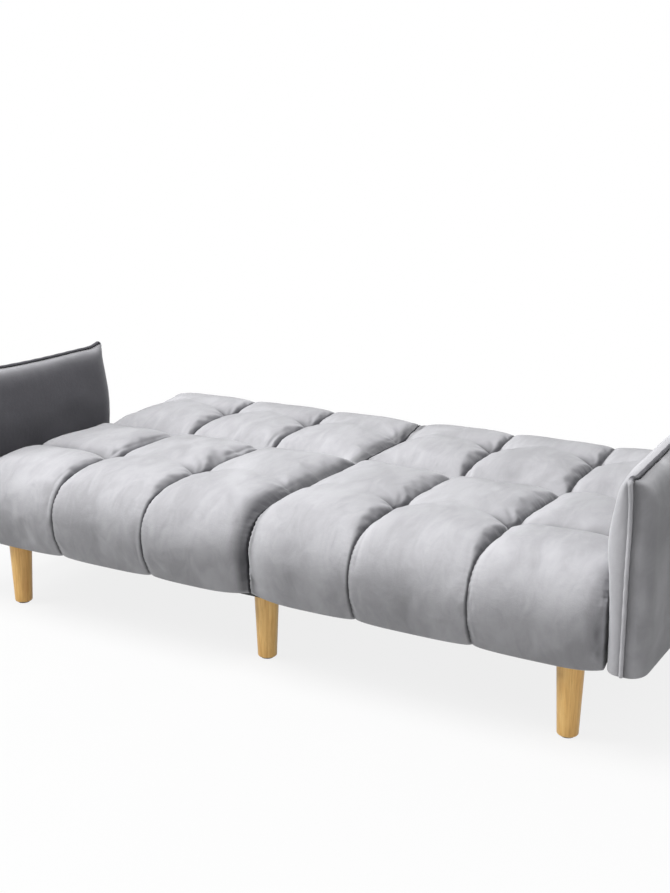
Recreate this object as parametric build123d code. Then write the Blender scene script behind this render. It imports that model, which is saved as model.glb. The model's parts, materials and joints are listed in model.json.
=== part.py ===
from build123d import *
import os
from math import cos, hypot, radians, sin

# Split-back sofa bed, folded flat: two seats side by side between two arms, and two backs that
# hinge up behind them on click-clack hinges. X runs along the sofa, Y from front to back, Z up.
# The origin is on the floor, in the middle of the footprint. All sizes are in millimetres.

# Quilted columns of one half
COLUMNS = 3
COLUMN_PITCH = 285.5
SPLIT_GAP = 4
CHANNEL_RUN = 38
CHANNEL_EASE = 0.34
CHANNEL_FADE = 0.75

# Seat
SEAT_DEPTH = 548
SEAT_HEIGHT = 412
SEAT_CHANNEL = 34
NOSE_HEIGHT = 285
NOSE_DRAW = 22
HEM_TUCK = 20
HEM_DRAW = 4
SKIRT_CLEAR = 1
SKIRT_LIFT = 7
SHOULDER_RUN = 95
SHOULDER_DROP = 8
SEAT_ROW = 233
ROW_TUCK = 12
ROW_CROWN = 10
REAR_CROWN = 7
SEAT_ROUND = 118
ROUND_CROWN = 10.4

# Back
BACK_LENGTH = 402
BACK_RISE = 6
BACK_THICK = 150
BACK_CHANNEL = 30
BACK_ROUND = 130
BACK_ROUND_CROWN = 12
BACK_ROW = 226
BACK_ROW_CROWN = 6
FAR_DRAW = 24
FAR_RUN = 72
FAR_TIP = 75
FAR_TUCK = 26
BED_TILT = 2.5

# Frames
RAIL_THICK = 22
SEAT_RAIL_HEIGHT = 78
BACK_RAIL_HEIGHT = 60
FRONT_PAD = 44
FAR_PAD = 46
REAR_WALL = 6
SIDE_PAD = 22
COVER_WALL = 8
SOFT_FIT = 0.3
CORNER_BLOCK = 60
CORNER_BLOCK_HEIGHT = 55
WEBBING_THICK = 2
WEBBING_WIDTH = 50
LONG_STRAPS = 5
CROSS_STRAPS = 3
STRAP_SETBACK = 3
LINING_THICK = 1.5

# Click-clack hinges
HINGE_DROP = 50
HINGE_GAP = 2
PLATE_THICK = 4
PLATE_GAP = 0.4
HUB_RADIUS = 14
PIVOT_RADIUS = 6
RUNNING_FIT = 0.05
PRESS_FIT = 0.02
HEAD_THICK = 2.4
HEAD_LIP = 3.5
SECTOR_RADIUS = 34
SECTOR_FLOOR = 28.5
SECTOR_END = 284
NOTCH_ANGLE = 263
NOTCH_HALF = 9
LOUNGE_ANGLE = 38
UPRIGHT_ANGLE = 72
RELEASE_ANGLE = 80
PAWL_REACH = 31
PAWL_DROP = 42
PAWL_BOSS = 7
PAWL_NOSE = 3.5
PAWL_RIVET_RADIUS = 4
PAWL_CLEAR = 0.8
TOOTH_BASE = 7
TOOTH_TOP = 5
TOOTH_OFFSET = 3
SPRING_BACK = 64
SPRING_DROP = 62
SPRING_TIP = 12
SPRING_EYE = 4.5
SPRING_THICK = 1.2
SPRING_BOW = 3
SPRING_RIVET_RADIUS = 2.5
FLANGE_FAR = 190
FLANGE_NEAR = 14
FLANGE_MARGIN = 9
FLANGE_CORNER = 8
FLANGE_START = 30
SCREWS = 3
SCREW_RADIUS = 2.2
SCREW_LENGTH = 18
SCREW_HEAD = 4.5
SCREW_INSET = 16
POCKET_CLEAR = 4

# Base rails and legs
LEG_HEIGHT = 172
LEG_TOP = 30
LEG_FOOT = 23
LEG_ROUND = 4
LEG_INSET = 85.5
LEG_SETBACK = 76
LEG_SPAN = 664
CENTRE_SETBACK = 24
GLIDE_THICK = 4
GLIDE_RADIUS = 15
BASE_WIDTH = 100
BASE_HEIGHT = 30
BASE_WALL = 2
BASE_TAIL = 36
CAP_THICK = 2
CAP_DEPTH = 12
CAP_FIT = 0.2
BOLT_RADIUS = 4
BOLT_HEAD_RADIUS = 7
BOLT_HEAD_THICK = 5.5
ACCESS_RADIUS = 9
FRAME_BOLT_FRONT = 140
FRAME_BOLT_REAR = 420
FRAME_BOLT_GRIP = 45
HANGER_DEPTH = 40
HANGER_RISE = 18
NUT_RADIUS = 8.5
NUT_THICK = 12

# Arms
ARM_GAP = 1.5
ARM_THICK = 84
ARM_DEPTH = 570
ARM_BOTTOM = 186
ARM_TOP = 622
ARM_CORNER = 26
ARM_SIDE_DRAW = 50
ARM_TOP_DRAW = 105
ARM_FULLNESS = 2 / 3
ARM_STATIONS = 3
WELT_RADIUS = 4
ARM_FRAME_THICK = 30
ARM_FRAME_EDGE = 34
ARM_POST = 60
ARM_RAIL = 74
ARM_BOLT_FRONT = 165
ARM_BOLT_REAR = 310
ARM_BOLT_RISE = 36
ARM_BOLT_GRIP = 26

# Places worked out from the sizes above
x_in = SPLIT_GAP / 2
x_out = x_in + COLUMNS * COLUMN_PITCH
x_mid = (x_in + x_out) / 2
y_front = -(SEAT_DEPTH + BACK_LENGTH) / 2
y_hinge = y_front + SEAT_DEPTH
y_far = y_hinge + BACK_LENGTH
z_hinge = SEAT_HEIGHT - HINGE_DROP
z_base_top = LEG_HEIGHT + BASE_HEIGHT
z_frame = z_base_top + LINING_THICK
z_skirt = LEG_HEIGHT + SKIRT_CLEAR
z_back_crown = SEAT_HEIGHT + BACK_RISE
z_back_bottom = z_back_crown - BACK_THICK
z_back_frame = z_back_bottom + LINING_THICK
back_side_pad = SIDE_PAD - PLATE_THICK - PLATE_GAP
hinge_axis = Axis((0, y_hinge, z_hinge), (1, 0, 0))

# Frame boxes: x0, x1, y0, y1 of the outer faces of the rails
seat_box = (x_in + SIDE_PAD, x_out - SIDE_PAD, y_front + FRONT_PAD, y_hinge - HINGE_GAP - REAR_WALL)
back_box = (x_in + back_side_pad, x_out - back_side_pad, y_hinge + HINGE_GAP + REAR_WALL, y_far - FAR_PAD)

# Layers of a hinge, as X at the inner end of the right half
seat_plate_x = x_in + SIDE_PAD - PLATE_THICK
back_plate_x = x_in + back_side_pad - PLATE_THICK
pawl_thick = PLATE_THICK - PLATE_GAP
pawl_x = back_plate_x + PLATE_GAP / 2
rivet_outer_x = back_plate_x - PLATE_GAP / 2
rivet_inner_x = seat_plate_x + PLATE_THICK
pawl_at = (-PAWL_REACH, -PAWL_DROP)
spring_at = (-SPRING_BACK, -SPRING_DROP)
pin_places = (((0, 0), PIVOT_RADIUS), (pawl_at, PAWL_RIVET_RADIUS), (spring_at, SPRING_RIVET_RADIUS))
pocket_x = x_in + COVER_WALL
works_x = rivet_inner_x + HEAD_THICK + SOFT_FIT

# Base rails: X of each rail's middle, X of its legs, and how much further back its front leg stands
x_rail = x_out - SIDE_PAD - BASE_WIDTH / 2
x_leg = x_out - LEG_INSET
rail_rows = ((-x_rail, -x_leg, 0), (0, 0, CENTRE_SETBACK), (x_rail, x_leg, 0))
y_rail = seat_box[2] + CAP_THICK
y_leg = y_front + LEG_SETBACK
y_rail_end = y_leg + LEG_SPAN + BASE_TAIL
frame_bolt_x = RAIL_THICK / 2 + SIDE_PAD
arm_x = x_out + ARM_GAP + ARM_THICK / 2
arm_bolt_z = z_frame + ARM_BOLT_RISE


# Small helpers

def block(x0, x1, y0, y1, z0, z1):
    """A box between two corners."""
    centre = Pos((x0 + x1) / 2, (y0 + y1) / 2, (z0 + z1) / 2)
    return centre * Box(x1 - x0, y1 - y0, z1 - z0)


def rod_x(y, z, radius, x0, x1):
    """A round bar along X."""
    return Pos((x0 + x1) / 2, y, z) * Rot(0, 90, 0) * Cylinder(radius, x1 - x0)


def rod_z(x, y, radius, z0, z1):
    """A round bar along Z."""
    return Pos(x, y, (z0 + z1) / 2) * Cylinder(radius, z1 - z0)


def group(pieces):
    """Separate solids kept in one node."""
    return Compound([solid for piece in pieces for solid in piece.solids()])


def left(shape):
    """The left half's copy of a piece of the right half."""
    return mirror(shape, about=Plane.YZ)


def other_end(shape):
    """The outer end's copy of a hinge piece at the inner end of the right half."""
    return mirror(shape, about=Plane.YZ.offset(x_mid))


def tilted(shape):
    """A back piece turned about the hinge line to the way the back lies when flat."""
    return shape.rotate(hinge_axis, BED_TILT)


def bow(x, start, end, rise):
    """An arc in the plane at x that stands off its chord by rise, to the left of its travel."""
    run = end[0] - start[0]
    climb = end[1] - start[1]
    length = hypot(run, climb)
    middle_y = (start[0] + end[0]) / 2 - rise * climb / length
    middle_z = (start[1] + end[1]) / 2 + rise * run / length
    return ThreePointArc((x, *start), (x, middle_y, middle_z), (x, *end))


# Quilted cushions

def seat_section(x, draw):
    """Side outline of a seat at x: draw is 0 on a column's crown and 1 in its sewn channel."""
    fade = 1 - CHANNEL_FADE * draw
    crown = SEAT_HEIGHT - SEAT_CHANNEL * draw
    skirt = z_skirt + SKIRT_LIFT * draw
    nose = (y_front + NOSE_DRAW * draw, NOSE_HEIGHT)
    hem = (y_front + HEM_TUCK + HEM_DRAW * draw, skirt)
    shoulder = (nose[0] + SHOULDER_RUN, crown - SHOULDER_DROP)
    row = (y_front + SEAT_ROW, crown - ROW_TUCK * fade)
    ridge = (y_hinge - SEAT_ROUND, crown)
    valley = (y_hinge - HINGE_GAP, z_hinge)
    rear = (y_hinge - HINGE_GAP, skirt)
    edges = [
        Line((x, *rear), (x, *hem)),
        TangentArc((x, *nose), (x, *hem), tangent=(0, 0, -1)),
        TangentArc((x, *nose), (x, *shoulder), tangent=(0, 0, 1)),
        bow(x, shoulder, row, ROW_CROWN * fade),
        bow(x, row, ridge, REAR_CROWN * fade),
        bow(x, ridge, valley, ROUND_CROWN * fade),
        Line((x, *valley), (x, *rear)),
    ]
    return Face(Wire(edges))


def back_section(x, draw):
    """Side outline of a back at x, lying level: draw is 0 on a crown and 1 in a sewn channel."""
    fade = 1 - CHANNEL_FADE * draw
    crown = z_back_crown - BACK_CHANNEL * draw
    near = y_hinge + HINGE_GAP
    valley = (near, z_hinge)
    ridge = (y_hinge + BACK_ROUND, crown)
    row = (y_hinge + BACK_ROW, crown - ROW_TUCK * fade)
    tip = (y_far - FAR_DRAW * draw, z_back_bottom + FAR_TIP)
    shoulder = (tip[0] - FAR_RUN, crown)
    foot = (y_far - FAR_TUCK, z_back_bottom)
    edges = [
        Line((x, near, z_back_bottom), (x, *valley)),
        bow(x, valley, ridge, BACK_ROUND_CROWN * fade),
        bow(x, ridge, row, BACK_ROW_CROWN * fade),
        bow(x, row, shoulder, REAR_CROWN * fade),
        TangentArc((x, *tip), (x, *shoulder), tangent=(0, 0, 1)),
        TangentArc((x, *tip), (x, *foot), tangent=(0, 0, -1)),
        Line((x, *foot), (x, near, z_back_bottom)),
    ]
    return Face(Wire(edges))


def quilted(section):
    """Three puffed columns side by side, each drawn in at its two sewn channels."""
    columns = []
    for column in range(COLUMNS):
        start = x_in + column * COLUMN_PITCH
        end = start + COLUMN_PITCH
        stations = [
            section(start, 1),
            section(start + CHANNEL_RUN, CHANNEL_EASE),
            section((start + end) / 2, 0),
            section(end - CHANNEL_RUN, CHANNEL_EASE),
            section(end, 1),
        ]
        columns.append(loft(stations))
    body = columns[0]
    for column in columns[1:]:
        body = body + column
    return body


def frame_room(box, z0, z1):
    """The room that a frame takes inside its cushion."""
    x0, x1, y0, y1 = box
    return block(x0 - SOFT_FIT, x1 + SOFT_FIT, y0 - SOFT_FIT, y1 + SOFT_FIT, z0, z1 + SOFT_FIT)


def deck_top(z0, height):
    """Top of the webbing on a frame whose cross rails start at z0."""
    return z0 + height + 2 * WEBBING_THICK


def hub_room():
    """The hollow around the hinge hub at the inner end, cut from seat and back alike."""
    return rod_x(y_hinge, z_hinge, HUB_RADIUS + HINGE_GAP, pocket_x, works_x)


def seat_cushion():
    """Quilted seat of the right half, hollow below for its frame and at both ends for the hinges."""
    z_deck = deck_top(z_frame, SEAT_RAIL_HEIGHT)
    z_low = z_skirt - LEG_HEIGHT / 2
    frame = frame_room(seat_box, z_frame, z_deck)
    base = block(x_in - 1, seat_box[1] + SOFT_FIT, seat_box[2] - SOFT_FIT, y_hinge, z_low, z_frame)
    pocket_y = y_hinge - FLANGE_FAR - POCKET_CLEAR
    flange = block(pocket_x, seat_box[0] + SOFT_FIT, pocket_y, y_hinge, z_frame, z_deck)
    works_y = y_hinge - SPRING_BACK - HUB_RADIUS - POCKET_CLEAR
    works = block(pocket_x, works_x, works_y, y_hinge, z_frame, z_hinge + POCKET_CLEAR)
    body = quilted(seat_section) - frame - base
    for cutter in (flange, works, hub_room()):
        body = body - cutter - other_end(cutter)
    for y in (ARM_BOLT_FRONT, ARM_BOLT_REAR):
        body = body - rod_x(y_front + y, arm_bolt_z, BOLT_RADIUS + SOFT_FIT, seat_box[1] - 1, x_out + 1)
    return body


def back_cushion():
    """Quilted back of the right half, lying level, hollow below for its frame."""
    frame = frame_room(back_box, z_back_bottom - 1, deck_top(z_back_frame, BACK_RAIL_HEIGHT))
    pocket_y = y_hinge + FLANGE_FAR + POCKET_CLEAR
    pocket = block(pocket_x, back_box[0] + SOFT_FIT, y_hinge, pocket_y, z_back_frame, z_hinge + POCKET_CLEAR)
    body = quilted(back_section) - frame
    for cutter in (pocket, hub_room()):
        body = body - cutter - other_end(cutter)
    return body


# Wooden frames, webbing and linings

def cross_rails(box, z0, height):
    """The front and rear rails of a frame."""
    x0, x1, y0, y1 = box
    front = block(x0, x1, y0, y0 + RAIL_THICK, z0, z0 + height)
    rear = block(x0, x1, y1 - RAIL_THICK, y1, z0, z0 + height)
    return [front, rear]


def side_rails(box, z0, height):
    """The two side rails, a strap's thickness taller than the cross rails they stand between."""
    x0, x1, y0, y1 = box
    top = z0 + height + WEBBING_THICK
    near = block(x0, x0 + RAIL_THICK, y0 + RAIL_THICK, y1 - RAIL_THICK, z0, top)
    far = block(x1 - RAIL_THICK, x1, y0 + RAIL_THICK, y1 - RAIL_THICK, z0, top)
    return [near, far]


def webbing(box, z0, height):
    """Straps from front to rear, and straps across on top of them."""
    x0, x1, y0, y1 = box
    z1 = z0 + height
    inner_x = x0 + RAIL_THICK
    inner_y = y0 + RAIL_THICK
    step_x = (x1 - x0 - 2 * RAIL_THICK) / LONG_STRAPS
    step_y = (y1 - y0 - 2 * RAIL_THICK) / CROSS_STRAPS
    half = WEBBING_WIDTH / 2
    z2 = z1 + WEBBING_THICK
    z3 = z2 + WEBBING_THICK
    straps = []
    for index in range(LONG_STRAPS):
        x = inner_x + (index + 0.5) * step_x
        straps.append(block(x - half, x + half, y0 + STRAP_SETBACK, y1 - STRAP_SETBACK, z1, z2))
    for index in range(CROSS_STRAPS):
        y = inner_y + (index + 0.5) * step_y
        straps.append(block(x0 + STRAP_SETBACK, x1 - STRAP_SETBACK, y - half, y + half, z2, z3))
    return straps


def lining(box, z1):
    """The thin cloth that closes a frame from below, its top at z1."""
    x0, x1, y0, y1 = box
    return block(x0, x1, y0, y1, z1 - LINING_THICK, z1)


def corner_blocks():
    """Glue blocks in the four corners of the right seat frame."""
    x0, x1, y0, y1 = seat_box
    triangle = Polygon((0, 0), (CORNER_BLOCK, 0), (0, CORNER_BLOCK), align=None)
    first = Pos(x0 + RAIL_THICK, y0 + RAIL_THICK, z_frame) * extrude(triangle, CORNER_BLOCK_HEIGHT)
    second = mirror(first, about=Plane.XZ.offset(-(y0 + y1) / 2))
    pair = [first, second]
    return pair + [other_end(corner) for corner in pair]


# Click-clack hinge, at the inner end of the right half

def hinge_plane(x):
    """A drawing plane at x with its origin on the hinge line, Y to the right and Z up."""
    return Plane((x, y_hinge, z_hinge), x_dir=(0, 1, 0), z_dir=(1, 0, 0))


def disc(centre, radius):
    """A round face on a hinge drawing."""
    return Pos(*centre) * Circle(radius)


def hull(*discs):
    """The outline drawn tight around some discs."""
    return make_hull([face.edge() for face in discs])


def pie(radius, first, last):
    """A slice of a disc about the hinge line, between two angles."""
    arc = CenterArc((0, 0), radius, first, last - first)
    return make_face(Curve() + [Line((0, 0), arc @ 0), arc, Line(arc @ 1, (0, 0))])


def flange_screws(y0, y1, z):
    """Screw places along a flange, on a hinge drawing."""
    step = (y1 - y0 - 2 * SCREW_INSET) / (SCREWS - 1)
    return [(y0 + SCREW_INSET + index * step, z) for index in range(SCREWS)]


def flange_sketch(y0, y1, z0, z1):
    """A flange with rounded corners on a hinge drawing."""
    return Pos((y0 + y1) / 2, (z0 + z1) / 2) * RectangleRounded(y1 - y0, z1 - z0, FLANGE_CORNER)


seat_flange = (
    -FLANGE_FAR,
    -FLANGE_NEAR,
    z_frame + FLANGE_MARGIN - z_hinge,
    z_frame + SEAT_RAIL_HEIGHT - FLANGE_MARGIN - z_hinge,
)
back_flange = (
    FLANGE_START,
    FLANGE_FAR,
    z_back_frame + FLANGE_MARGIN - z_hinge,
    z_back_frame + BACK_RAIL_HEIGHT - FLANGE_MARGIN - z_hinge,
)
seat_screws = flange_screws(seat_flange[0], seat_flange[1], (seat_flange[2] + seat_flange[3]) / 2)
back_screws = flange_screws(back_flange[0], back_flange[1], (back_flange[2] + back_flange[3]) / 2)


def seat_plate():
    """Stamped plate on the seat's side rail, with a web that rises to the hinge hub."""
    y0, y1, z0, z1 = seat_flange
    web = hull(
        disc((0, 0), HUB_RADIUS),
        disc(pawl_at, HUB_RADIUS),
        disc(spring_at, HUB_RADIUS),
        disc((spring_at[0], z1 - HUB_RADIUS), HUB_RADIUS),
        disc((y1 - HUB_RADIUS, z1 - HUB_RADIUS), HUB_RADIUS),
    )
    seat_side = Pos(y0 / 2, z0 / 2) * Rectangle(-y0, -z0)
    face = flange_sketch(*seat_flange) + (web & seat_side) + disc((0, 0), HUB_RADIUS)
    face = face - disc((0, 0), PIVOT_RADIUS + PRESS_FIT)
    face = face - disc(pawl_at, PAWL_RIVET_RADIUS + PRESS_FIT)
    face = face - disc(spring_at, SPRING_RIVET_RADIUS + PRESS_FIT)
    for place in seat_screws:
        face = face - disc(place, SCREW_RADIUS + RUNNING_FIT)
    return extrude(hinge_plane(seat_plate_x) * face, PLATE_THICK)


def back_plate():
    """Stamped plate on the back's side rail, ending in a hub with the notched sector of the ratchet."""
    y0, y1, z0, z1 = back_flange
    arm = hull(
        disc((0, 0), HUB_RADIUS),
        disc((y0 + HUB_RADIUS, z0 + HUB_RADIUS), HUB_RADIUS),
        disc((y0 + HUB_RADIUS, z1 - HUB_RADIUS), HUB_RADIUS),
    )
    start = NOTCH_ANGLE - RELEASE_ANGLE - NOTCH_HALF - BED_TILT
    last = SECTOR_END - BED_TILT
    face = flange_sketch(*back_flange) + arm + pie(SECTOR_RADIUS, start, last)
    ring = Circle(SECTOR_RADIUS + 1) - Circle(SECTOR_FLOOR)
    for first_stop, last_stop in ((0, 0), (LOUNGE_ANGLE, LOUNGE_ANGLE), (UPRIGHT_ANGLE, RELEASE_ANGLE)):
        first = NOTCH_ANGLE - last_stop - NOTCH_HALF - BED_TILT
        last = NOTCH_ANGLE - first_stop + NOTCH_HALF - BED_TILT
        face = face - (pie(SECTOR_RADIUS + 1, first, last) & ring)
    face = face - disc((0, 0), PIVOT_RADIUS + RUNNING_FIT)
    for place in back_screws:
        face = face - disc(place, SCREW_RADIUS + RUNNING_FIT)
    return extrude(hinge_plane(back_plate_x) * face, PLATE_THICK)


def pawl():
    """Spring-loaded pawl, resting just under the rim of the sector, its tooth pointing up."""
    top = -(SECTOR_RADIUS + PAWL_CLEAR)
    base = -PAWL_DROP
    nose_at = (-TOOTH_OFFSET, base)
    tooth = Polygon(
        (-TOOTH_OFFSET - TOOTH_BASE / 2, base),
        (-TOOTH_OFFSET + TOOTH_BASE / 2, base),
        (-TOOTH_OFFSET + TOOTH_TOP / 2, top),
        (-TOOTH_OFFSET - TOOTH_TOP / 2, top),
        align=None,
    )
    face = hull(disc(pawl_at, PAWL_BOSS), disc(nose_at, PAWL_NOSE)) + tooth
    face = face - disc(pawl_at, PAWL_RIVET_RADIUS + RUNNING_FIT)
    return extrude(hinge_plane(pawl_x) * face, pawl_thick)


def leaf_spring():
    """Strip riveted to the seat plate by its eye, reaching under the pawl's nose."""
    reach = (PAWL_REACH - SPRING_TIP) / (PAWL_REACH - TOOTH_OFFSET)
    under = -PAWL_DROP - PAWL_BOSS + reach * (PAWL_BOSS - PAWL_NOSE)
    tip = (-SPRING_TIP, under - SPRING_THICK - SOFT_FIT)
    middle = ((spring_at[0] + tip[0]) / 2, (spring_at[1] + tip[1]) / 2 - SPRING_BOW)
    strip = trace(ThreePointArc(spring_at, middle, tip), SPRING_THICK)
    face = disc(spring_at, SPRING_EYE) + strip
    face = face - disc(spring_at, SPRING_RIVET_RADIUS + PRESS_FIT)
    return extrude(hinge_plane(pawl_x) * face, pawl_thick)


def rivet(place, radius):
    """Headed pin through both layers of the hinge."""
    y = y_hinge + place[0]
    z = z_hinge + place[1]
    shaft = rod_x(y, z, radius, rivet_outer_x, rivet_inner_x)
    outer = rod_x(y, z, radius + HEAD_LIP, rivet_outer_x - HEAD_THICK, rivet_outer_x)
    inner = rod_x(y, z, radius + HEAD_LIP, rivet_inner_x, rivet_inner_x + HEAD_THICK)
    return shaft + outer + inner


def rivet_room(place, radius):
    """Room for such a pin's inner head in a rail that stands beside it, as in a low seat."""
    reach = radius + HEAD_LIP + SOFT_FIT
    return rod_x(y_hinge + place[0], z_hinge + place[1], reach, rivet_inner_x, works_x)


def screw(place, x_face):
    """Wood screw driven along X, its head on the plate's outer face at x_face."""
    y = y_hinge + place[0]
    z = z_hinge + place[1]
    head = rod_x(y, z, SCREW_HEAD, x_face - HEAD_THICK, x_face)
    return head + rod_x(y, z, SCREW_RADIUS, x_face, x_face + SCREW_LENGTH)


def screw_hole(place, x_face):
    """Pilot hole for such a screw."""
    reach = x_face + SCREW_LENGTH + SOFT_FIT
    return rod_x(y_hinge + place[0], z_hinge + place[1], SCREW_RADIUS + PRESS_FIT, x_face, reach)


def bored(pieces, holes):
    """Pieces with each of the holes cut through the ones that it meets."""
    for hole in holes:
        pieces = [piece - hole for piece in pieces]
    return pieces


# Base rails, legs and arms

def frame_bolt_places():
    """X and Y of the bolts that hold the right half down on the base rails."""
    rows = (y_front + FRAME_BOLT_FRONT, y_front + FRAME_BOLT_REAR)
    return [(x, y) for x in (x_in + frame_bolt_x, x_out - frame_bolt_x) for y in rows]


def all_frame_bolt_places():
    """The same places on both halves."""
    return [(side * x, y) for side in (-1, 1) for x, y in frame_bolt_places()]


def leg_places():
    """X and Y of every leg, the front row first."""
    front = [(row[1], y_leg + row[2]) for row in rail_rows]
    rear = [(row[1], y_leg + LEG_SPAN) for row in rail_rows]
    return front + rear


def base_rail(x):
    """Flat steel tube from the front to the rear leg, bored for the legs and the frame's bolts."""
    half = BASE_WIDTH / 2
    tube = block(x - half, x + half, y_rail, y_rail_end, LEG_HEIGHT, z_base_top)
    inner = half - BASE_WALL
    tube = tube - block(
        x - inner, x + inner, y_rail - 1, y_rail_end + 1, LEG_HEIGHT + BASE_WALL, z_base_top - BASE_WALL
    )
    middle = LEG_HEIGHT + BASE_HEIGHT / 2
    for bolt_x, bolt_y in all_frame_bolt_places():
        if abs(bolt_x - x) < half:
            tube = tube - rod_z(bolt_x, bolt_y, BOLT_RADIUS + SOFT_FIT, middle, z_base_top + 1)
            tube = tube - rod_z(bolt_x, bolt_y, ACCESS_RADIUS, LEG_HEIGHT - 1, middle)
    for leg_x, leg_y in leg_places():
        if abs(leg_x - x) < half:
            tube = tube - rod_z(leg_x, leg_y, BOLT_RADIUS + RUNNING_FIT, LEG_HEIGHT - 1, middle)
    return tube


def end_cap(x, y, inward):
    """Plastic plug in one end of a base rail: inward is 1 at the front end and -1 at the rear."""
    half = BASE_WIDTH / 2
    inner = half - BASE_WALL - CAP_FIT
    low = LEG_HEIGHT + BASE_WALL + CAP_FIT
    high = z_base_top - BASE_WALL - CAP_FIT
    flange_y = sorted((y, y - inward * CAP_THICK))
    plug_y = sorted((y, y + inward * CAP_DEPTH))
    flange = block(x - half, x + half, *flange_y, LEG_HEIGHT, z_base_top)
    return flange + block(x - inner, x + inner, *plug_y, low, high)


def frame_bolt(x, y):
    """Bolt from inside a base rail up into a side rail."""
    seat = z_base_top - BASE_WALL
    head = rod_z(x, y, BOLT_HEAD_RADIUS, seat - BOLT_HEAD_THICK, seat)
    return head + rod_z(x, y, BOLT_RADIUS, seat, z_frame + FRAME_BOLT_GRIP)


def frame_bolt_hole(x, y):
    """Bore for such a bolt in a side rail and its lining."""
    return rod_z(x, y, BOLT_RADIUS + PRESS_FIT, z_base_top - 1, z_frame + FRAME_BOLT_GRIP + SOFT_FIT)


def leg(x, y):
    """Turned leg, tapering to a rounded foot, bored for its hanger bolt."""
    length = LEG_HEIGHT - GLIDE_THICK
    body = Pos(x, y, GLIDE_THICK + length / 2) * Cone(LEG_FOOT, LEG_TOP, length)
    body = fillet(body.edges().filter_by(GeomType.CIRCLE).group_by(Axis.Z)[0], LEG_ROUND)
    return body - rod_z(x, y, BOLT_RADIUS + PRESS_FIT, LEG_HEIGHT - HANGER_DEPTH, LEG_HEIGHT + 1)


def hanger_bolt(x, y):
    """Headless bolt from the leg into the weld nut."""
    return rod_z(x, y, BOLT_RADIUS, LEG_HEIGHT - HANGER_DEPTH, LEG_HEIGHT + HANGER_RISE)


def weld_nut(x, y):
    """Hexagon nut on the floor of a base rail."""
    nut = extrude(RegularPolygon(NUT_RADIUS, 6), NUT_THICK)
    low = LEG_HEIGHT + BASE_WALL
    return Pos(x, y, low) * nut - rod_z(x, y, BOLT_RADIUS + RUNNING_FIT, low - 1, low + NUT_THICK + 1)


def glide(x, y):
    """Nail-on glide under a leg."""
    return rod_z(x, y, GLIDE_RADIUS, 0, GLIDE_THICK)


arm_edge = 2 * WELT_RADIUS + SOFT_FIT
arm_y = (y_front + arm_edge, y_front + ARM_DEPTH - arm_edge)
arm_z = (ARM_BOTTOM, ARM_TOP - arm_edge)
arm_frame_y = (arm_y[0] + ARM_FRAME_EDGE, arm_y[1] - ARM_FRAME_EDGE)
arm_frame_top = arm_z[1] - ARM_FRAME_EDGE
arm_frame_x = (arm_x - ARM_FRAME_THICK / 2, arm_x + ARM_FRAME_THICK / 2)


def arm_outline(offset, inward):
    """Outline of the arm pad, offset along X from its welt: square below, drawn in at its sides and top."""
    place = Plane((arm_x + offset, sum(arm_y) / 2, arm_z[0]), x_dir=(0, 1, 0), z_dir=(1, 0, 0))
    depth = arm_y[1] - arm_y[0] - 2 * ARM_SIDE_DRAW * inward
    height = arm_z[1] - arm_z[0] - ARM_TOP_DRAW * inward
    outline = Rectangle(depth, height, align=(Align.CENTER, Align.MIN))
    return place * fillet(outline.vertices().sort_by(Axis.Y)[2:], ARM_CORNER)


def arm_pad():
    """Pillow of the right arm: two crowned faces that meet at the welt, flat and slotted below."""
    half = ARM_THICK / 2
    sides = []
    for side in (-1, 1):
        outlines = []
        for station in range(ARM_STATIONS + 1):
            turn = radians(90 * station / ARM_STATIONS)
            offset = half * sin(turn) ** ARM_FULLNESS
            outlines.append(arm_outline(side * offset, 1 - cos(turn)))
        sides.append(loft(outlines))
    slot = block(
        arm_frame_x[0] - SOFT_FIT, arm_frame_x[1] + SOFT_FIT,
        arm_frame_y[0] - SOFT_FIT, arm_frame_y[1] + SOFT_FIT,
        arm_z[0], arm_frame_top + SOFT_FIT,
    )
    body = sides[0] + sides[1] - slot
    for y in (ARM_BOLT_FRONT, ARM_BOLT_REAR):
        body = body - rod_x(y_front + y, arm_bolt_z, BOLT_RADIUS + SOFT_FIT, x_out, arm_x)
    return body


def arm_welt():
    """Round welt up the front edge of the arm pad, over its top and down its rear edge."""
    reach = WELT_RADIUS + SOFT_FIT
    y0 = arm_y[0] - reach
    y1 = arm_y[1] + reach
    top = arm_z[1] + reach
    corners = ((arm_x, y0, arm_z[0]), (arm_x, y0, top), (arm_x, y1, top), (arm_x, y1, arm_z[0]))
    path = FilletPolyline(*corners, radius=ARM_CORNER + reach)
    start = Plane(origin=path @ 0, z_dir=path % 0)
    return sweep(start * Circle(WELT_RADIUS), path=path)


def arm_frame():
    """Two posts and two rails inside the right arm."""
    x0, x1 = arm_frame_x
    y0, y1 = arm_frame_y
    z0 = arm_z[0]
    front = block(x0, x1, y0, y0 + ARM_POST, z0, arm_frame_top)
    rear = block(x0, x1, y1 - ARM_POST, y1, z0, arm_frame_top)
    low = block(x0, x1, y0 + ARM_POST, y1 - ARM_POST, z0, z0 + ARM_RAIL)
    high = block(x0, x1, y0 + ARM_POST, y1 - ARM_POST, arm_frame_top - ARM_POST, arm_frame_top)
    return bored([front, rear, low, high], arm_bolt_holes())


def arm_bolts():
    """Bolts from inside the right seat frame out into the arm frame."""
    face = seat_box[1] - RAIL_THICK
    bolts = []
    for y in (ARM_BOLT_FRONT, ARM_BOLT_REAR):
        head = rod_x(y_front + y, arm_bolt_z, BOLT_HEAD_RADIUS, face - BOLT_HEAD_THICK, face)
        bolts.append(head + rod_x(y_front + y, arm_bolt_z, BOLT_RADIUS, face, arm_frame_x[0] + ARM_BOLT_GRIP))
    return bolts


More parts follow.
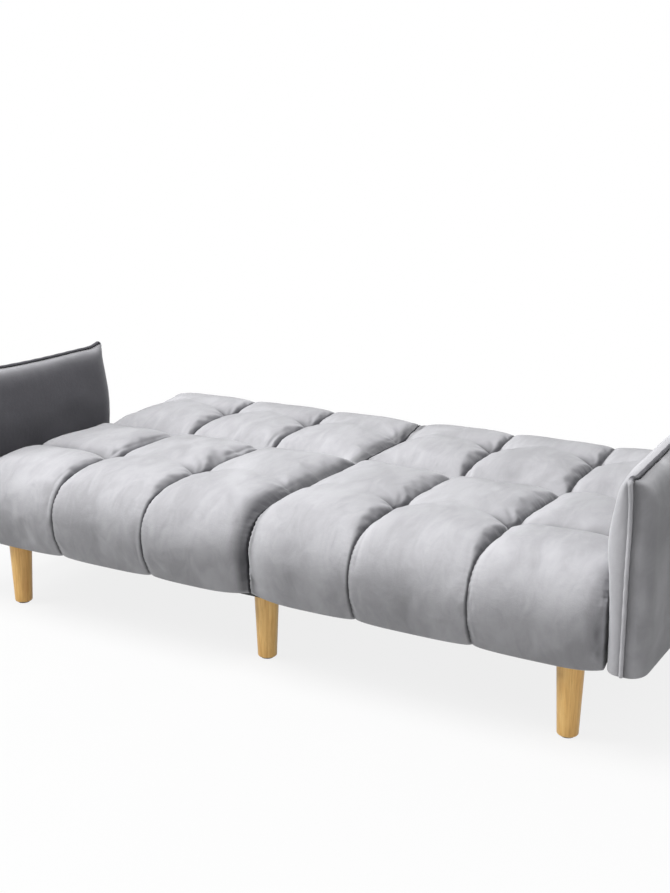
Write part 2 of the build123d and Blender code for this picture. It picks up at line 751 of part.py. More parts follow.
def arm_bolt_holes():
    """Bores for those bolts in the side rail and the arm frame."""
    end = arm_frame_x[0] + ARM_BOLT_GRIP + SOFT_FIT
    face = seat_box[1] - RAIL_THICK - 1
    radius = BOLT_RADIUS + PRESS_FIT
    places = (ARM_BOLT_FRONT, ARM_BOLT_REAR)
    return [rod_x(y_front + y, arm_bolt_z, radius, face, end) for y in places]


# The nodes

nodes = {}


def add_pair(name, right_shape):
    """One node for the right half and its mirror for the left."""
    nodes[name + "_right"] = right_shape
    nodes[name + "_left"] = left(right_shape)


def add_hinges(name, shape):
    """One node for each of the four hinges."""
    add_pair(name + "_inner", shape)
    add_pair(name + "_outer", other_end(shape))


def four(shapes):
    """Copies of some hinge pieces at all four hinges."""
    right = shapes + [other_end(shape) for shape in shapes]
    return right + [left(shape) for shape in right]


def two(shapes):
    """Copies of some hinge pieces at both ends of the right half."""
    return shapes + [other_end(shape) for shape in shapes]


seat_holes = two([screw_hole(place, seat_plate_x) for place in seat_screws])
seat_holes = seat_holes + two([rivet_room(*pin) for pin in pin_places])
bolt_holes = [frame_bolt_hole(*place) for place in frame_bolt_places()]
add_pair("seat_cushion", seat_cushion())
add_pair("seat_cross_rails", group(bored(cross_rails(seat_box, z_frame, SEAT_RAIL_HEIGHT), seat_holes)))
rails = side_rails(seat_box, z_frame, SEAT_RAIL_HEIGHT)
add_pair("seat_side_rails", group(bored(rails, seat_holes + bolt_holes + arm_bolt_holes())))
add_pair("seat_webbing", group(webbing(seat_box, z_frame, SEAT_RAIL_HEIGHT)))
add_pair("seat_dust_cover", group(bored([lining(seat_box, z_frame)], bolt_holes)))
add_pair("seat_corner_blocks", group(corner_blocks()))

back_holes = two([screw_hole(place, back_plate_x) for place in back_screws])
add_pair("back_cushion", tilted(back_cushion()))
rails = cross_rails(back_box, z_back_frame, BACK_RAIL_HEIGHT)
add_pair("back_cross_rails", tilted(group(bored(rails, back_holes))))
rails = side_rails(back_box, z_back_frame, BACK_RAIL_HEIGHT)
add_pair("back_side_rails", tilted(group(bored(rails, back_holes))))
add_pair("back_webbing", tilted(group(webbing(back_box, z_back_frame, BACK_RAIL_HEIGHT))))
add_pair("back_lining", tilted(lining(back_box, z_back_frame)))

add_hinges("hinge_seat_plate", seat_plate())
add_hinges("hinge_back_plate", tilted(back_plate()))
add_hinges("hinge_pawl", pawl())
nodes["hinge_rivets"] = group(four([rivet(*pin) for pin in pin_places]))
nodes["pawl_springs"] = group(four([leaf_spring()]))
nodes["seat_plate_screws"] = group(four([screw(place, seat_plate_x) for place in seat_screws]))
back_plate_screws = tilted(group(two([screw(place, back_plate_x) for place in back_screws])))
add_pair("back_plate_screws", back_plate_screws)

for side, row in zip(("left", "centre", "right"), rail_rows):
    nodes["base_rail_" + side] = base_rail(row[0])
caps = [end_cap(row[0], y_rail, 1) for row in rail_rows]
nodes["base_rail_caps"] = group(caps + [end_cap(row[0], y_rail_end, -1) for row in rail_rows])
nodes["frame_bolts"] = group([frame_bolt(*place) for place in all_frame_bolt_places()])
leg_names = [row + "_" + side for row in ("front", "rear") for side in ("left", "centre", "right")]
for name, place in zip(leg_names, leg_places()):
    nodes["leg_" + name] = leg(*place)
nodes["leg_hanger_bolts"] = group([hanger_bolt(*place) for place in leg_places()])
nodes["leg_weld_nuts"] = group([weld_nut(*place) for place in leg_places()])
nodes["leg_glides"] = group([glide(*place) for place in leg_places()])

add_pair("arm_pad", arm_pad())
add_pair("arm_welt", arm_welt())
add_pair("arm_frame", group(arm_frame()))
nodes["arm_bolts"] = group(arm_bolts() + [left(bolt) for bolt in arm_bolts()])

os.makedirs("parts", exist_ok=True)
for name, shape in nodes.items():
    export_step(shape, "parts/" + name + ".step")
print(len(nodes), "nodes, hinge line at Y", round(y_hinge, 3), "Z", round(z_hinge, 3))
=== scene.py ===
import json
import math

import bpy
import numpy as np
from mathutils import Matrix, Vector


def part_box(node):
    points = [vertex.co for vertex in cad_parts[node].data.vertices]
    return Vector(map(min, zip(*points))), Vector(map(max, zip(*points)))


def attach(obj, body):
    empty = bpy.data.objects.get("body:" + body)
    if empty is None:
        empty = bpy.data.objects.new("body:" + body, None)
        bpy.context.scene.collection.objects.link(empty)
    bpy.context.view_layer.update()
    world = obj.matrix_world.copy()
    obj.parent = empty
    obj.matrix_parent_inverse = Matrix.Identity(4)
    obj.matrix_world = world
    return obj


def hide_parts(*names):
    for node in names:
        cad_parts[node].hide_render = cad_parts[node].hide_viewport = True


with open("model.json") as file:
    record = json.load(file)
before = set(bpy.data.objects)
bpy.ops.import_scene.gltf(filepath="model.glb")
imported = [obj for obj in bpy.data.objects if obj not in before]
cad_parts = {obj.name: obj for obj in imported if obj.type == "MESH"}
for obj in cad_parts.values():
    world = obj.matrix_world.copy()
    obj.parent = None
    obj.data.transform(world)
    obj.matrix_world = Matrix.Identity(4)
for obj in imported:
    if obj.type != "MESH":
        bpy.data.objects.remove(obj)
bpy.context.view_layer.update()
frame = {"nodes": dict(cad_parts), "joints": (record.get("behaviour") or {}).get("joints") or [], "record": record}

# Split-back sofa bed folded flat. Metres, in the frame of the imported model:
# X along the sofa, Y from the front to the backs, Z up.

# Random draws
SEED = 7
LEFT_SEED = 100
BACK_SEED = 40
TUCK_SEED = 1
WANDER_SEED = 2
PUCKER_SEED = 3
FOLD_SEED = 4
CREASE_SEED = 5
CREASE_PATCH_SEED = 6
ARM_SEED = SEED + 60
ARM_FACE_SEED = 7
ARM_SIDE_SEED = 3
ARM_RUB_SEED = SEED + 80
ARM_PUCKER_SEED = SEED + 90

# Photograph's camera
CAMERA_AT = (1.62079, -2.77972, 1.23715)
CAMERA_LOOK = (-0.4965, 0.8343, -0.2396)
CAMERA_LENS = 51.81
CAMERA_SENSOR = 36.0

# Light and floor; each lamp has its place, its aim, its width and its watts
WORLD_LIGHT = 0.12
LAMPS = {
    "key": ((-3.2, -2.4, 3.4), (0, 0, 0.35), 1.8, 130),
    "top": ((-0.3, -1.0, 4.2), (0, 0, 0.3), 2.6, 290),
    "fill": ((3.6, -2.4, 0.9), (0.8, -0.2, 0.3), 1.6, 28),
}
FLOOR_SIZE = 30
FLOOR_DARK = 0.41
FLOOR_LIGHT = 0.45
FLOOR_GLOW = 0.84
GLOW_NEAR = 0.6
GLOW_FAR = 2.2

# Colours of the velvet, and the tones of its painted seam shade, its violet painted shade and its painted
# highlight
COOL = (0.99, 0.985, 1.03)
VIOLET = (1.0, 0.97, 1.15)
SEAM_PAINTED_SHADE = 0.12
PAINTED_SHADE_TONE = 0.15
PAINTED_HIGHLIGHT_TONE = 1.6

# Quilting of one half
COLUMNS = 3
COLUMN_CELLS = 34
CELL = 0.0095
SEAM_CLOSENESS = 0.70
CHANNEL_POWER = 3.5
CROWN_LOSS = 0.75
PINCH_SHARE = 0.42
PINCH_REACH = 0.006
CUSHION_GAP = 0.001
SHOWN_FADE_CELLS = 5

# Ends of a half: the inner one at the split, the outer one at the arm
INNER_END_POWER = 2.6
INNER_TOP_POWER = 4.5
INNER_END_DRAW = 1.1
SEAT_END_POWER = 3.5
SEAT_END_DRAW = 0.75
BACK_END_POWER = 4.0
BACK_END_DRAW = 0.9
OUTER_FRONT_POWER = 4.0
FRONT_FADE_CELLS = 10
CAP_SHARES = (0.985, 0.95, 0.86, 0.7, 0.45, 0.2)
CAP_BULGES = (0.0, 0.0004, 0.0006, 0.0007, 0.0008, 0.0008)

# Painted shade in the seams, at the split and along the rows
SEAM_DARK_FROM = 0.58
SEAM_DARK_FULL = 0.88
INNER_END_DARK = 0.75
ROW_SHADE = 0.75
ROW_SHADE_NEAR = 0.0025
ROW_SHADE_FAR = 0.009

# Stuffing of the covers, worked out as cloth blown up from inside
STUFFING_FRAMES = 20
STUFFING_REACH = 0.014
STUFFING_ROOM = 0.005
STUFFING_CLOTH = {
    "quality": 6,
    "mass": 0.3,
    "tension_stiffness": 16,
    "compression_stiffness": 10,
    "shear_stiffness": 5,
    "bending_stiffness": 1.5,
    "air_damping": 3,
    "use_pressure": True,
    "uniform_pressure_force": 2.2,
    "shrink_min": -0.008,
}
PIN_LEVELS = 8
ROW_PIN = 0.75
ROW_PIN_REACH = 0.028

# Hinge between seat and back, with the plates at the ends of each half
VALLEY_LIFT = 0.008
PLATE_LIFT = 0.023
HINGE_SLIT = 0.002
PLATE_SHUT = 0.15
PLATE_NEAR = 0.032
PLATE_FAR = 0.065
ROUND_CROWN = 0.012
REAR_CELLS = 8

# Seat outline, from the front of the puffs and the floor
SEAT_CHANNEL = 0.035
NOSE_HEIGHT = 0.285
NOSE_FORWARD = 0.016
NOSE_DRAW = 0.008
END_NOSE_DRAW = 0.036
HEM_TUCK = 0.020
HEM_DRAW = 0.25
HEM_LIFT = 0.007
HEM_END_LIFT = 0.08
HEM_INNER = 0.043
HEM_FOLD = 0.002
HEM_CELLS = 3
SHOULDER_RUN = 0.095
SHOULDER_DROP = 0.008
SEAT_ROW = 0.233
ROW_TUCK = 0.003
ROW_CROWN = 0.005
REAR_CROWN = 0.004
SEAT_ROUND = 0.080
FRAME_BOTTOM = 0.2036
SEAT_UNDER_CELLS = 10
SEAT_LENGTHS = {"front": 0.112, "roll": 0.16, "row_one": 0.138, "row_two": 0.235, "round": 0.095}

# Back outline, from the hinge line, lying level
BACK_CHANNEL = 0.033
BACK_ROUND = 0.080
BACK_ROW = 0.226
BACK_ROW_CROWN = 0.004
FAR_CHANNEL = 0.2
FAR_DRAW = 0.024
FAR_RUN = 0.072
FAR_TIP = 0.075
FAR_TUCK = 0.026
BACK_CROWN = 0.418
BACK_THICK = 0.150
BED_TILT = math.radians(2.5)
BACK_UNDER_CELLS = 12
BACK_LENGTHS = {"round": 0.095, "row_one": 0.145, "row_two": 0.105, "roll": 0.12, "front": 0.078}

# Tufts and tucks of the rows
TUFT_DEPTH = 0.018
TUFT_REACH = 0.040
TUFT_WIDTH = 0.022
TUFT_POWER = 1.4
TUCK_DEPTH = 0.008
TUCK_REACH = 0.060
TUCK_WIDTH = 0.005
TUCK_EVEN = 0.8
TUCK_VARY = 0.4
TUCK_LUMPS = (8, 1)
ARM_TUFT = 1.1
ARM_TUCK = 1.0
INNER_END_TUFT = 0.3
SEAT_END_TUFT = 0.6

# Gathers, puckers, folds and creases; lumps are counted along a half and round its outline
GATHER_HEIGHT = 0.0022
GATHER_REACH = 0.045
GATHER_EYE = 0.012
GATHER_COUNT = 9
GATHER_WANDER = 1.5
GATHER_LUMPS = (12, 14)
PUCKER_HEIGHT = 0.0012
PUCKER_REACH = 0.016
PUCKER_LENGTH = 0.018
FOLD_DEPTH = 0.003
FOLD_OFFSET = 0.017
FOLD_WIDTH = 0.004
FOLD_GAIN = 2
FOLD_LUMPS = (COLUMNS, 7)
UNEVEN_HEIGHT = 0.003
UNEVEN_LUMPS = (9, 9)
CREASE_HEIGHT = 0.003
CREASE_LUMPS = (16, 20)
CREASE_PATCHES = (5, 6)

# Fine puckers of the stitching; turns and slant are in radians to the metre
STITCH_HEIGHT = 0.0013
STITCH_REACH = 0.012
STITCH_PITCH = 0.014
STITCH_SLANT = 40
STITCH_DRIFT = 2
STITCH_DRIFT_LENGTH = 0.06
STITCH_DRIFT_TURN = 9
STITCH_EVEN = 0.6
STITCH_VARY = 0.4
STITCH_VARY_LENGTH = 0.033

# Painted shade on the cushions' slopes that face right and painted highlight on those that face left
SLOPE_PAINTED_SHADE = 0.78
SLOPE_SHADE_TURN = 0.34
SLOPE_PAINT_SPREAD = 0.48
SLOPE_PAINTED_HIGHLIGHT = 0.30
END_PANEL = 0.012

# Arms
ARM_CORNER = 0.011
ARM_SIDE_DRAW = 0.050
ARM_OUTER_DRAW = 0.045
ARM_TOP_DRAW = 0.105
ARM_FULLNESS = 0.62
ARM_EDGE_CELLS = 9
ARM_LONG_CELLS = 44
ARM_HIGH_CELLS = 30
ARM_FOOT = 0.012
ARM_FOOT_EDGE = 0.003
ARM_UNDER_SHARES = (0.08, 0.5, 0.92)
ARM_EDGE_DRAW_IN = 0.004
ARM_EDGE_POWER = 4
ARM_REAR_SWELL = 0.012
ARM_EAR = 0.010
ARM_EAR_REACH = 0.020
ARM_DROOP = {"left": 0.0, "right": 0.032}
ARM_DROOP_REACH = 0.30
ARM_DROOP_POWER = 3
ARM_TOP_ROLL = {"left": 0.0, "right": 0.014}
ARM_ROLL_DEPTH = 0.045
ARM_ROLL_FROM = 0.10
ARM_ROLL_SEAM = 0.006
ARM_BULGE = 0.015
ARM_BULGE_AT = 0.468
ARM_BULGE_ABOVE = 0.066
ARM_BULGE_BELOW = 0.110
ARM_BULGE_SIDE = 0.110
ARM_UNEVEN = 0.002
ARM_UNEVEN_FROM = 0.03
ARM_LUMPS = (10, 8)
ARM_PUCKER = 0.0018
ARM_PUCKER_LENGTH = 0.0075
ARM_PUCKER_REACH = 0.022
ARM_PUCKER_SEAM = 0.004
ARM_PUCKER_WANDER = 3
ARM_PUCKER_LUMPS = (9, 7)

# Painted shade and painted highlight on the arms, and random rubbed patches
ARM_SEAM_SHARE = 0.3
ARM_PAINTED_SHADE = {"left": 1.0, "right": 0.0}
ARM_PAINTED_SHADE_FROM = 0.012
ARM_PAINTED_HIGHLIGHT = {"left": 0.0, "right": 0.34}
ARM_STRIP = 0.060
ARM_TOP_PAINTED_HIGHLIGHT = 1.25
ARM_RUB = 0.30
ARM_RUB_LUMPS = (16, 5)

# Welts of the arms
WELT_RADIUS = 0.0045
WELT_STAND_OFF = 0.7
WELT_SIDES = 10
WELT_KNOT = 0.3
WELT_PUCKER = 0.09
WELT_PUCKER_LENGTH = 0.0022
# Painted shade on the welt's level top run and painted highlight on its standing runs
WELT_TOP_PAINTED_SHADE = 1.0
WELT_FRONT_PAINTED_HIGHLIGHT = 0.30
WELT_LEVEL_FROM = 0.4
WELT_LEVEL_FULL = 0.9

# Linings and their staples
CLOTH_CELLS_X = 97
CLOTH_CELLS_Y = 57
CLOTH_RIPPLE = 0.0008
RIPPLE_REACH = 0.03
SAG_POWER = 0.6
SEAT_SAG = 0.0035
BACK_SAG = 0.0015
LINING_FROM_HINGE = 0.008
STAPLE_PITCH = 0.055
STAPLE_LENGTH = 0.010
STAPLE_WIRE = 0.0012
STAPLE_HEIGHT = 0.0008
STAPLE_INSET = 0.008
STAPLE_FROM_CORNER = 0.02

SAME_PLACE = 1e-6
LEAST_LENGTH = 1e-9
UP = (0, 1)
DOWN = (0, -1)

hinge = next(joint for joint in frame["joints"] if joint["name"] == "right_back_fold")["pos_m"]
HINGE_Y = hinge[1]
HINGE_Z = hinge[2]
seat_low, seat_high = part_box("seat_cushion_right")
back_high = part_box("back_cushion_right")[1]
X_IN = seat_low.x
X_OUT = seat_high.x
Y_FRONT = seat_low.y
PITCH = (X_OUT - X_IN) / COLUMNS
SEAT_CROWN = seat_high.z
BACK_BOTTOM = BACK_CROWN - BACK_THICK


# Shader maths

class Signal:
    """An output socket of a node tree, with arithmetic that adds Math nodes."""

    def __init__(self, nodes, socket):
        self.nodes = nodes
        self.socket = socket

    def maths(self, operation, *values):
        return self.nodes.add("ShaderNodeMath", {"operation": operation}, dict(enumerate(values)))

    def __add__(self, other):
        return self.maths("ADD", self, other)

    __radd__ = __add__

    def __mul__(self, other):
        return self.maths("MULTIPLY", self, other)

    __rmul__ = __mul__

    def __or__(self, other):
        """The larger of the two."""
        return self.maths("MAXIMUM", self, other)

    def between(self, low, high):
        """0 below low, 1 above high, smooth in between."""
        sockets = {"Value": self, "From Min": low, "From Max": high}
        return self.nodes.add("ShaderNodeMapRange", {"interpolation_type": "SMOOTHSTEP"}, sockets)


class Nodes:
    """The node tree of a material or of the world."""

    def __init__(self, tree):
        self.tree = tree

    def add(self, kind, settings=None, sockets=None, out=0):
        """A node of that kind: its settings first, then the values or links of its sockets."""
        node = self.tree.nodes.new(kind)
        for key, value in (settings or {}).items():
            if key == "stops":
                self.set_stops(node.color_ramp, value)
            else:
                setattr(node, key, value)
        for key, value in (sockets or {}).items():
            self.feed(node.inputs[key], value)
        return Signal(self, node.outputs[out])

    def set_stops(self, ramp, stops):
        while len(ramp.elements) < len(stops):
            ramp.elements.new(1.0)
        for element, (place, colour) in zip(ramp.elements, stops):
            element.position = place
            element.color = (*colour, 1.0)

    def feed(self, socket, value):
        if isinstance(value, Signal):
            self.tree.links.new(value.socket, socket)
        else:
            socket.default_value = value

    def seen(self):
        """1 for rays of the camera, of reflections and of what is seen through, 0 for rays of light."""
        camera_ray = self.add("ShaderNodeLightPath", out="Is Camera Ray")
        glossy_ray = self.add("ShaderNodeLightPath", out="Is Glossy Ray")
        return camera_ray | glossy_ray | self.add("ShaderNodeLightPath", out="Is Transmission Ray")


class Finish(Nodes):
    """A material made of nodes."""

    def __init__(self, name):
        self.material = bpy.data.materials.new(name)
        self.material.use_nodes = True
        super().__init__(self.material.node_tree)
        self.shader = self.tree.nodes["Principled BSDF"]

    def set(self, **values):
        """Values or links of the shader's own sockets, by name with underscores for spaces."""
        for key, value in values.items():
            self.feed(self.shader.inputs[key.replace("_", " ")], value)

    def place(self, scale=(1, 1, 1), turn=(0, 0, 0)):
        """Object coordinates, stretched and turned."""
        coordinates = self.add("ShaderNodeTexCoord", out="Object")
        return self.add("ShaderNodeMapping", None, {"Vector": coordinates, "Scale": scale, "Rotation": turn})

    def noise(self, scale, detail=2.0, rough=0.5, distortion=0.0, at=None):
        """Noise at so many lumps to the metre."""
        sockets = {
            "Vector": at or self.place(), "Scale": scale,
            "Detail": detail, "Roughness": rough, "Distortion": distortion,
        }
        return self.add("ShaderNodeTexNoise", None, sockets, "Fac")

    def threads(self, direction, scale):
        """Parallel threads across one axis."""
        settings = {"wave_type": "BANDS", "bands_direction": direction}
        sockets = {"Vector": self.place(), "Scale": scale, "Distortion": 0.6}
        return self.add("ShaderNodeTexWave", settings, sockets, "Fac")

    def mix(self, factor, first, second):
        """A colour between two colours."""
        return self.add("ShaderNodeMix", {"data_type": "RGBA"}, {0: factor, 6: first, 7: second}, 2)

    def bump(self, height, distance, strength=1.0, below=None):
        """A bump of that height in metres, over another bump if one is given."""
        sockets = {"Height": height, "Distance": distance, "Strength": strength}
        if below:
            sockets["Normal"] = below
        return self.add("ShaderNodeBump", None, sockets)

    def attribute(self, name):
        """A value stored on the piece's own vertices."""
        return self.add("ShaderNodeAttribute", {"attribute_name": name}, out="Fac")


def grey(value, tint=(1, 1, 1)):
    """An opaque colour of that linear value."""
    return (value * tint[0], value * tint[1], value * tint[2], 1.0)


# Finishes

def velvet(name, dark, light):
    """Short-pile velvet: brushed nap patches, fine pile and a soft sheen, with painted seam shade, painted shade
    and painted highlight from the piece's attributes.
    """
    finish = Finish(name)
    brushed_at = finish.place(scale=(1.0, 0.55, 0.8), turn=(0, 0, 0.5))
    brushed = finish.noise(6.0, detail=3.0, rough=0.55, distortion=0.8, at=brushed_at)
    smear_at = finish.place(scale=(1.0, 0.35, 0.6), turn=(0.2, 0, 0.8))
    smear = finish.noise(24.0, detail=3.0, rough=0.55, distortion=1.4, at=smear_at)
    pile = finish.noise(1400.0, detail=1.0, rough=0.6)
    nap = brushed * 0.5 + smear * 0.3 + pile * 0.2
    colour = finish.mix(nap.between(0.35, 0.65), grey(dark, COOL), grey(light, COOL))
    # Painted shade in the seams, from the piece's seam attribute
    colour = finish.mix(finish.attribute("seam") * 0.9, colour, grey(dark * SEAM_PAINTED_SHADE, COOL))
    # Painted shade, tinted violet, where the piece's attribute marks it
    colour = finish.mix(finish.attribute("against_pile") * 0.92, colour, grey(dark * PAINTED_SHADE_TONE, VIOLET))
    # Painted highlight where the piece's attribute marks it
    colour = finish.mix(finish.attribute("with_pile"), colour, grey(light * PAINTED_HIGHLIGHT_TONE, COOL))
    crush = finish.noise(95.0, detail=3.0, rough=0.55, distortion=0.4)
    lumps = finish.bump(crush, 0.0012, strength=0.5)
    finish.set(
        Base_Color=colour,
        Roughness=0.78 + 0.16 * pile,
        Normal=finish.bump(pile, 0.0006, strength=0.35, below=lumps),
        Sheen_Weight=0.35,
        Sheen_Roughness=0.4,
        Sheen_Tint=(0.96, 0.98, 1.0, 1.0),
        Specular_IOR_Level=0.15,
    )
    return finish.material


def turned_wood(name, dark, middle, light):
    """Lacquered hardwood with long grain along Z."""
    finish = Finish(name)
    warp = finish.noise(9.0, at=finish.place(scale=(1, 1, 0.18)))
    grain_at = finish.place(scale=(1.0, 1.0, 0.035))
    grain = finish.noise(190.0, detail=4.0, rough=0.62, distortion=0.6, at=grain_at)
    pores = finish.noise(900.0, at=finish.place(scale=(1.0, 1.0, 0.03)))
    tone = (grain * 0.6 + warp * 0.4).between(0.3, 0.7)
    stops = ((0.0, dark), (0.5, middle), (1.0, light))
    colour = finish.add("ShaderNodeValToRGB", {"stops": stops}, {"Fac": tone})
    colour = finish.mix(pores.between(0.62, 0.75) * 0.35, colour, grey(0.55, dark))
    finish.set(
        Base_Color=colour,
        Roughness=0.34 + 0.2 * pores,
        Coat_Weight=0.15,
        Coat_Roughness=0.22,
        Normal=finish.bump(pores, 0.0002, strength=0.25),
    )
    return finish.material


def sawn_wood(name):
    """Planed frame timber, unfinished."""
    finish = Finish(name)
    grain_at = finish.place(scale=(0.06, 0.5, 1.0))
    grain = finish.noise(120.0, detail=4.0, rough=0.6, distortion=0.5, at=grain_at)
    tone = finish.noise(7.0)
    mask = (grain * 0.7 + tone * 0.3).between(0.3, 0.7)
    finish.set(
        Base_Color=finish.mix(mask, (0.30, 0.19, 0.10, 1.0), (0.58, 0.42, 0.25, 1.0)),
        Roughness=0.7 + 0.2 * grain,
        Normal=finish.bump(grain, 0.0004, strength=0.4),
    )
    return finish.material


def woven(name, dark, light, threads):
    """Plain-woven or bonded cloth, with its crossed threads in the bump."""
    finish = Finish(name)
    weave = finish.threads("X", threads) * finish.threads("Y", threads)
    lint = finish.noise(60.0, detail=3.0)
    finish.set(
        Base_Color=finish.mix((weave * 0.6 + lint * 0.4).between(0.2, 0.8), grey(dark), grey(light)),
        Roughness=0.82 + 0.1 * lint,
        Normal=finish.bump(weave, 0.0005, strength=0.5),
        Sheen_Weight=0.15,
    )
    return finish.material


def zinc_steel(name, low, high, rough):
    """Zinc-plated pressed steel with faint spangle and scuffs."""
    finish = Finish(name)
    spangle = finish.noise(130.0)
    scuff = finish.noise(420.0, detail=3.0, rough=0.6, at=finish.place(scale=(0.2, 1.0, 0.25)))
    finish.set(
        Base_Color=finish.mix(spangle.between(0.35, 0.65), grey(low, (1, 1, 0.97)), grey(high, (1, 1, 0.98))),
        Metallic=1.0,
        Roughness=rough + 0.18 * scuff,
        Normal=finish.bump(scuff, 0.0001, strength=0.2),
    )
    return finish.material


def powder_coat(name, low, high):
    """Black coat with its orange-peel skin and a little rubbed wear."""
    finish = Finish(name)
    peel = finish.noise(600.0)
    wear = finish.noise(25.0, detail=5.0, rough=0.65)
    finish.set(
        Base_Color=finish.mix(wear.between(0.58, 0.75), grey(low), grey(high)),
        Roughness=0.42 + 0.15 * wear,
        Normal=finish.bump(peel, 0.0003, strength=0.3),
    )
    return finish.material


FABRIC = velvet("grey_velvet", 0.255, 0.345)
WELT = velvet("welt_velvet", 0.29, 0.38)
LEG_WOOD = turned_wood("leg_wood", (0.60, 0.30, 0.075), (0.77, 0.45, 0.135), (0.87, 0.57, 0.21))
FRAME_WOOD = sawn_wood("frame_wood")
LINING = woven("black_lining", 0.012, 0.032, 220.0)
WEBBING = woven("webbing", 0.02, 0.06, 140.0)
HINGE_STEEL = zinc_steel("hinge_steel", 0.42, 0.58, 0.28)
FASTENER_STEEL = zinc_steel("fastener_steel", 0.5, 0.66, 0.22)
SPRING_STEEL = zinc_steel("spring_steel", 0.18, 0.30, 0.25)
BASE_PAINT = powder_coat("base_paint", 0.012, 0.035)
BLACK_PLASTIC = powder_coat("black_plastic", 0.015, 0.03)

SLOT_FINISH = {
    "velvet": FABRIC,
    "welt_velvet": WELT,
    "leg_wood": LEG_WOOD,
    "frame_wood": FRAME_WOOD,
    "webbing": WEBBING,
    "lining_cloth": LINING,
    "hinge_steel": HINGE_STEEL,
    "spring_steel": SPRING_STEEL,
    "fastener_steel": FASTENER_STEEL,
    "base_paint": BASE_PAINT,
    "cap_plastic": BLACK_PLASTIC,
    "glide_plastic": BLACK_PLASTIC,
}


def dress_frame():
    """Gives every CAD node the finish of its slot."""
    slots = {row["node"]: row["material_slot"] for row in frame["record"]["subparts"]}
    for node, piece in frame["nodes"].items():
        piece.data.materials.clear()
        piece.data.materials.append(SLOT_FINISH[slots[node]])


# Outlines in the YZ plane

def arc(start, end, rise, count):
    """Points of an arc that stands off its chord by rise, to the left of its travel, without its end."""
    start = np.array(start, float)
    end = np.array(end, float)
    chord = end - start
    length = np.hypot(*chord)
    share = np.arange(count) / count
    if abs(rise) < SAME_PLACE:
        return start + share[:, None] * chord
    radius = (length ** 2 / 4 + rise ** 2) / (2 * rise)
    left = np.array((-chord[1], chord[0])) / length
    centre = (start + end) / 2 + left * (rise - radius)
    spoke = start - centre
    half = math.asin(min(1.0, length / 2 / abs(radius)))
    turn = -np.sign(rise) * 2 * half * share
    cosine = np.cos(turn)
    sine = np.sin(turn)
    return centre + np.stack((spoke[0] * cosine - spoke[1] * sine, spoke[0] * sine + spoke[1] * cosine), 1)


def rise_for(start, end, tangent, at_end=False):
    """How far an arc stands off its chord if it starts, or ends, along the tangent."""
    chord = np.subtract(end, start)
    length = np.hypot(*chord)
    between = math.atan2(chord[1], chord[0]) - math.atan2(tangent[1], tangent[0])
    if at_end:
        between = -between
    return -length / 2 * math.tan(between / 2)


class Outline:
    """A closed side outline of a cushion, cut into stretches with a number of cells each."""

    def __init__(self, stretches):
        points = []
        self.starts = {}
        for name, start, end, rise, count in stretches:
            self.starts[name] = len(points)
            points.extend(arc(start, end, rise, count))
        self.points = np.array(points)


def cells(length):
    """How many cells a stretch of about that length is cut into."""
    return max(2, round(length / CELL))


def seat_outline(draw, nose_draw=NOSE_DRAW, lift=VALLEY_LIFT):
    """Side outline of a seat: draw is 0 on a column's crown and 1 in its sewn channel."""
    count = {name: cells(length) for name, length in SEAT_LENGTHS.items()}
    fade = 1 - CROWN_LOSS * draw
    crown = SEAT_CROWN - SEAT_CHANNEL * draw
    hem_z = seat_low.z + (HEM_LIFT + HEM_END_LIFT * nose_draw) * draw
    nose = (Y_FRONT - NOSE_FORWARD + nose_draw * draw, NOSE_HEIGHT)
    hem = (Y_FRONT + HEM_TUCK + HEM_DRAW * nose_draw * draw, hem_z)
    inner = (Y_FRONT + HEM_INNER, hem_z + HEM_FOLD)
    shoulder = (nose[0] + SHOULDER_RUN, crown - SHOULDER_DROP)
    row = (Y_FRONT + SEAT_ROW, crown - ROW_TUCK * fade)
    rear = HINGE_Y - HINGE_SLIT + PLATE_SHUT * (lift - VALLEY_LIFT)
    ridge = (HINGE_Y - SEAT_ROUND, crown)
    valley = (rear, HINGE_Z + lift - VALLEY_LIFT * (1 - fade))
    front_foot = (Y_FRONT + HEM_INNER, FRAME_BOTTOM)
    rear_foot = (rear, FRAME_BOTTOM)
    return Outline((
        ("inner", front_foot, inner, 0, HEM_CELLS),
        ("hem", inner, hem, HEM_FOLD, HEM_CELLS),
        ("front", hem, nose, rise_for(hem, nose, UP, at_end=True), count["front"]),
        ("roll", nose, shoulder, rise_for(nose, shoulder, UP), count["roll"]),
        ("row_one", shoulder, row, ROW_CROWN * fade, count["row_one"]),
        ("row_two", row, ridge, REAR_CROWN * fade, count["row_two"]),
        ("round", ridge, valley, ROUND_CROWN * fade, count["round"]),
        ("rear", valley, rear_foot, 0, REAR_CELLS),
        ("under", rear_foot, front_foot, 0, SEAT_UNDER_CELLS),
    ))


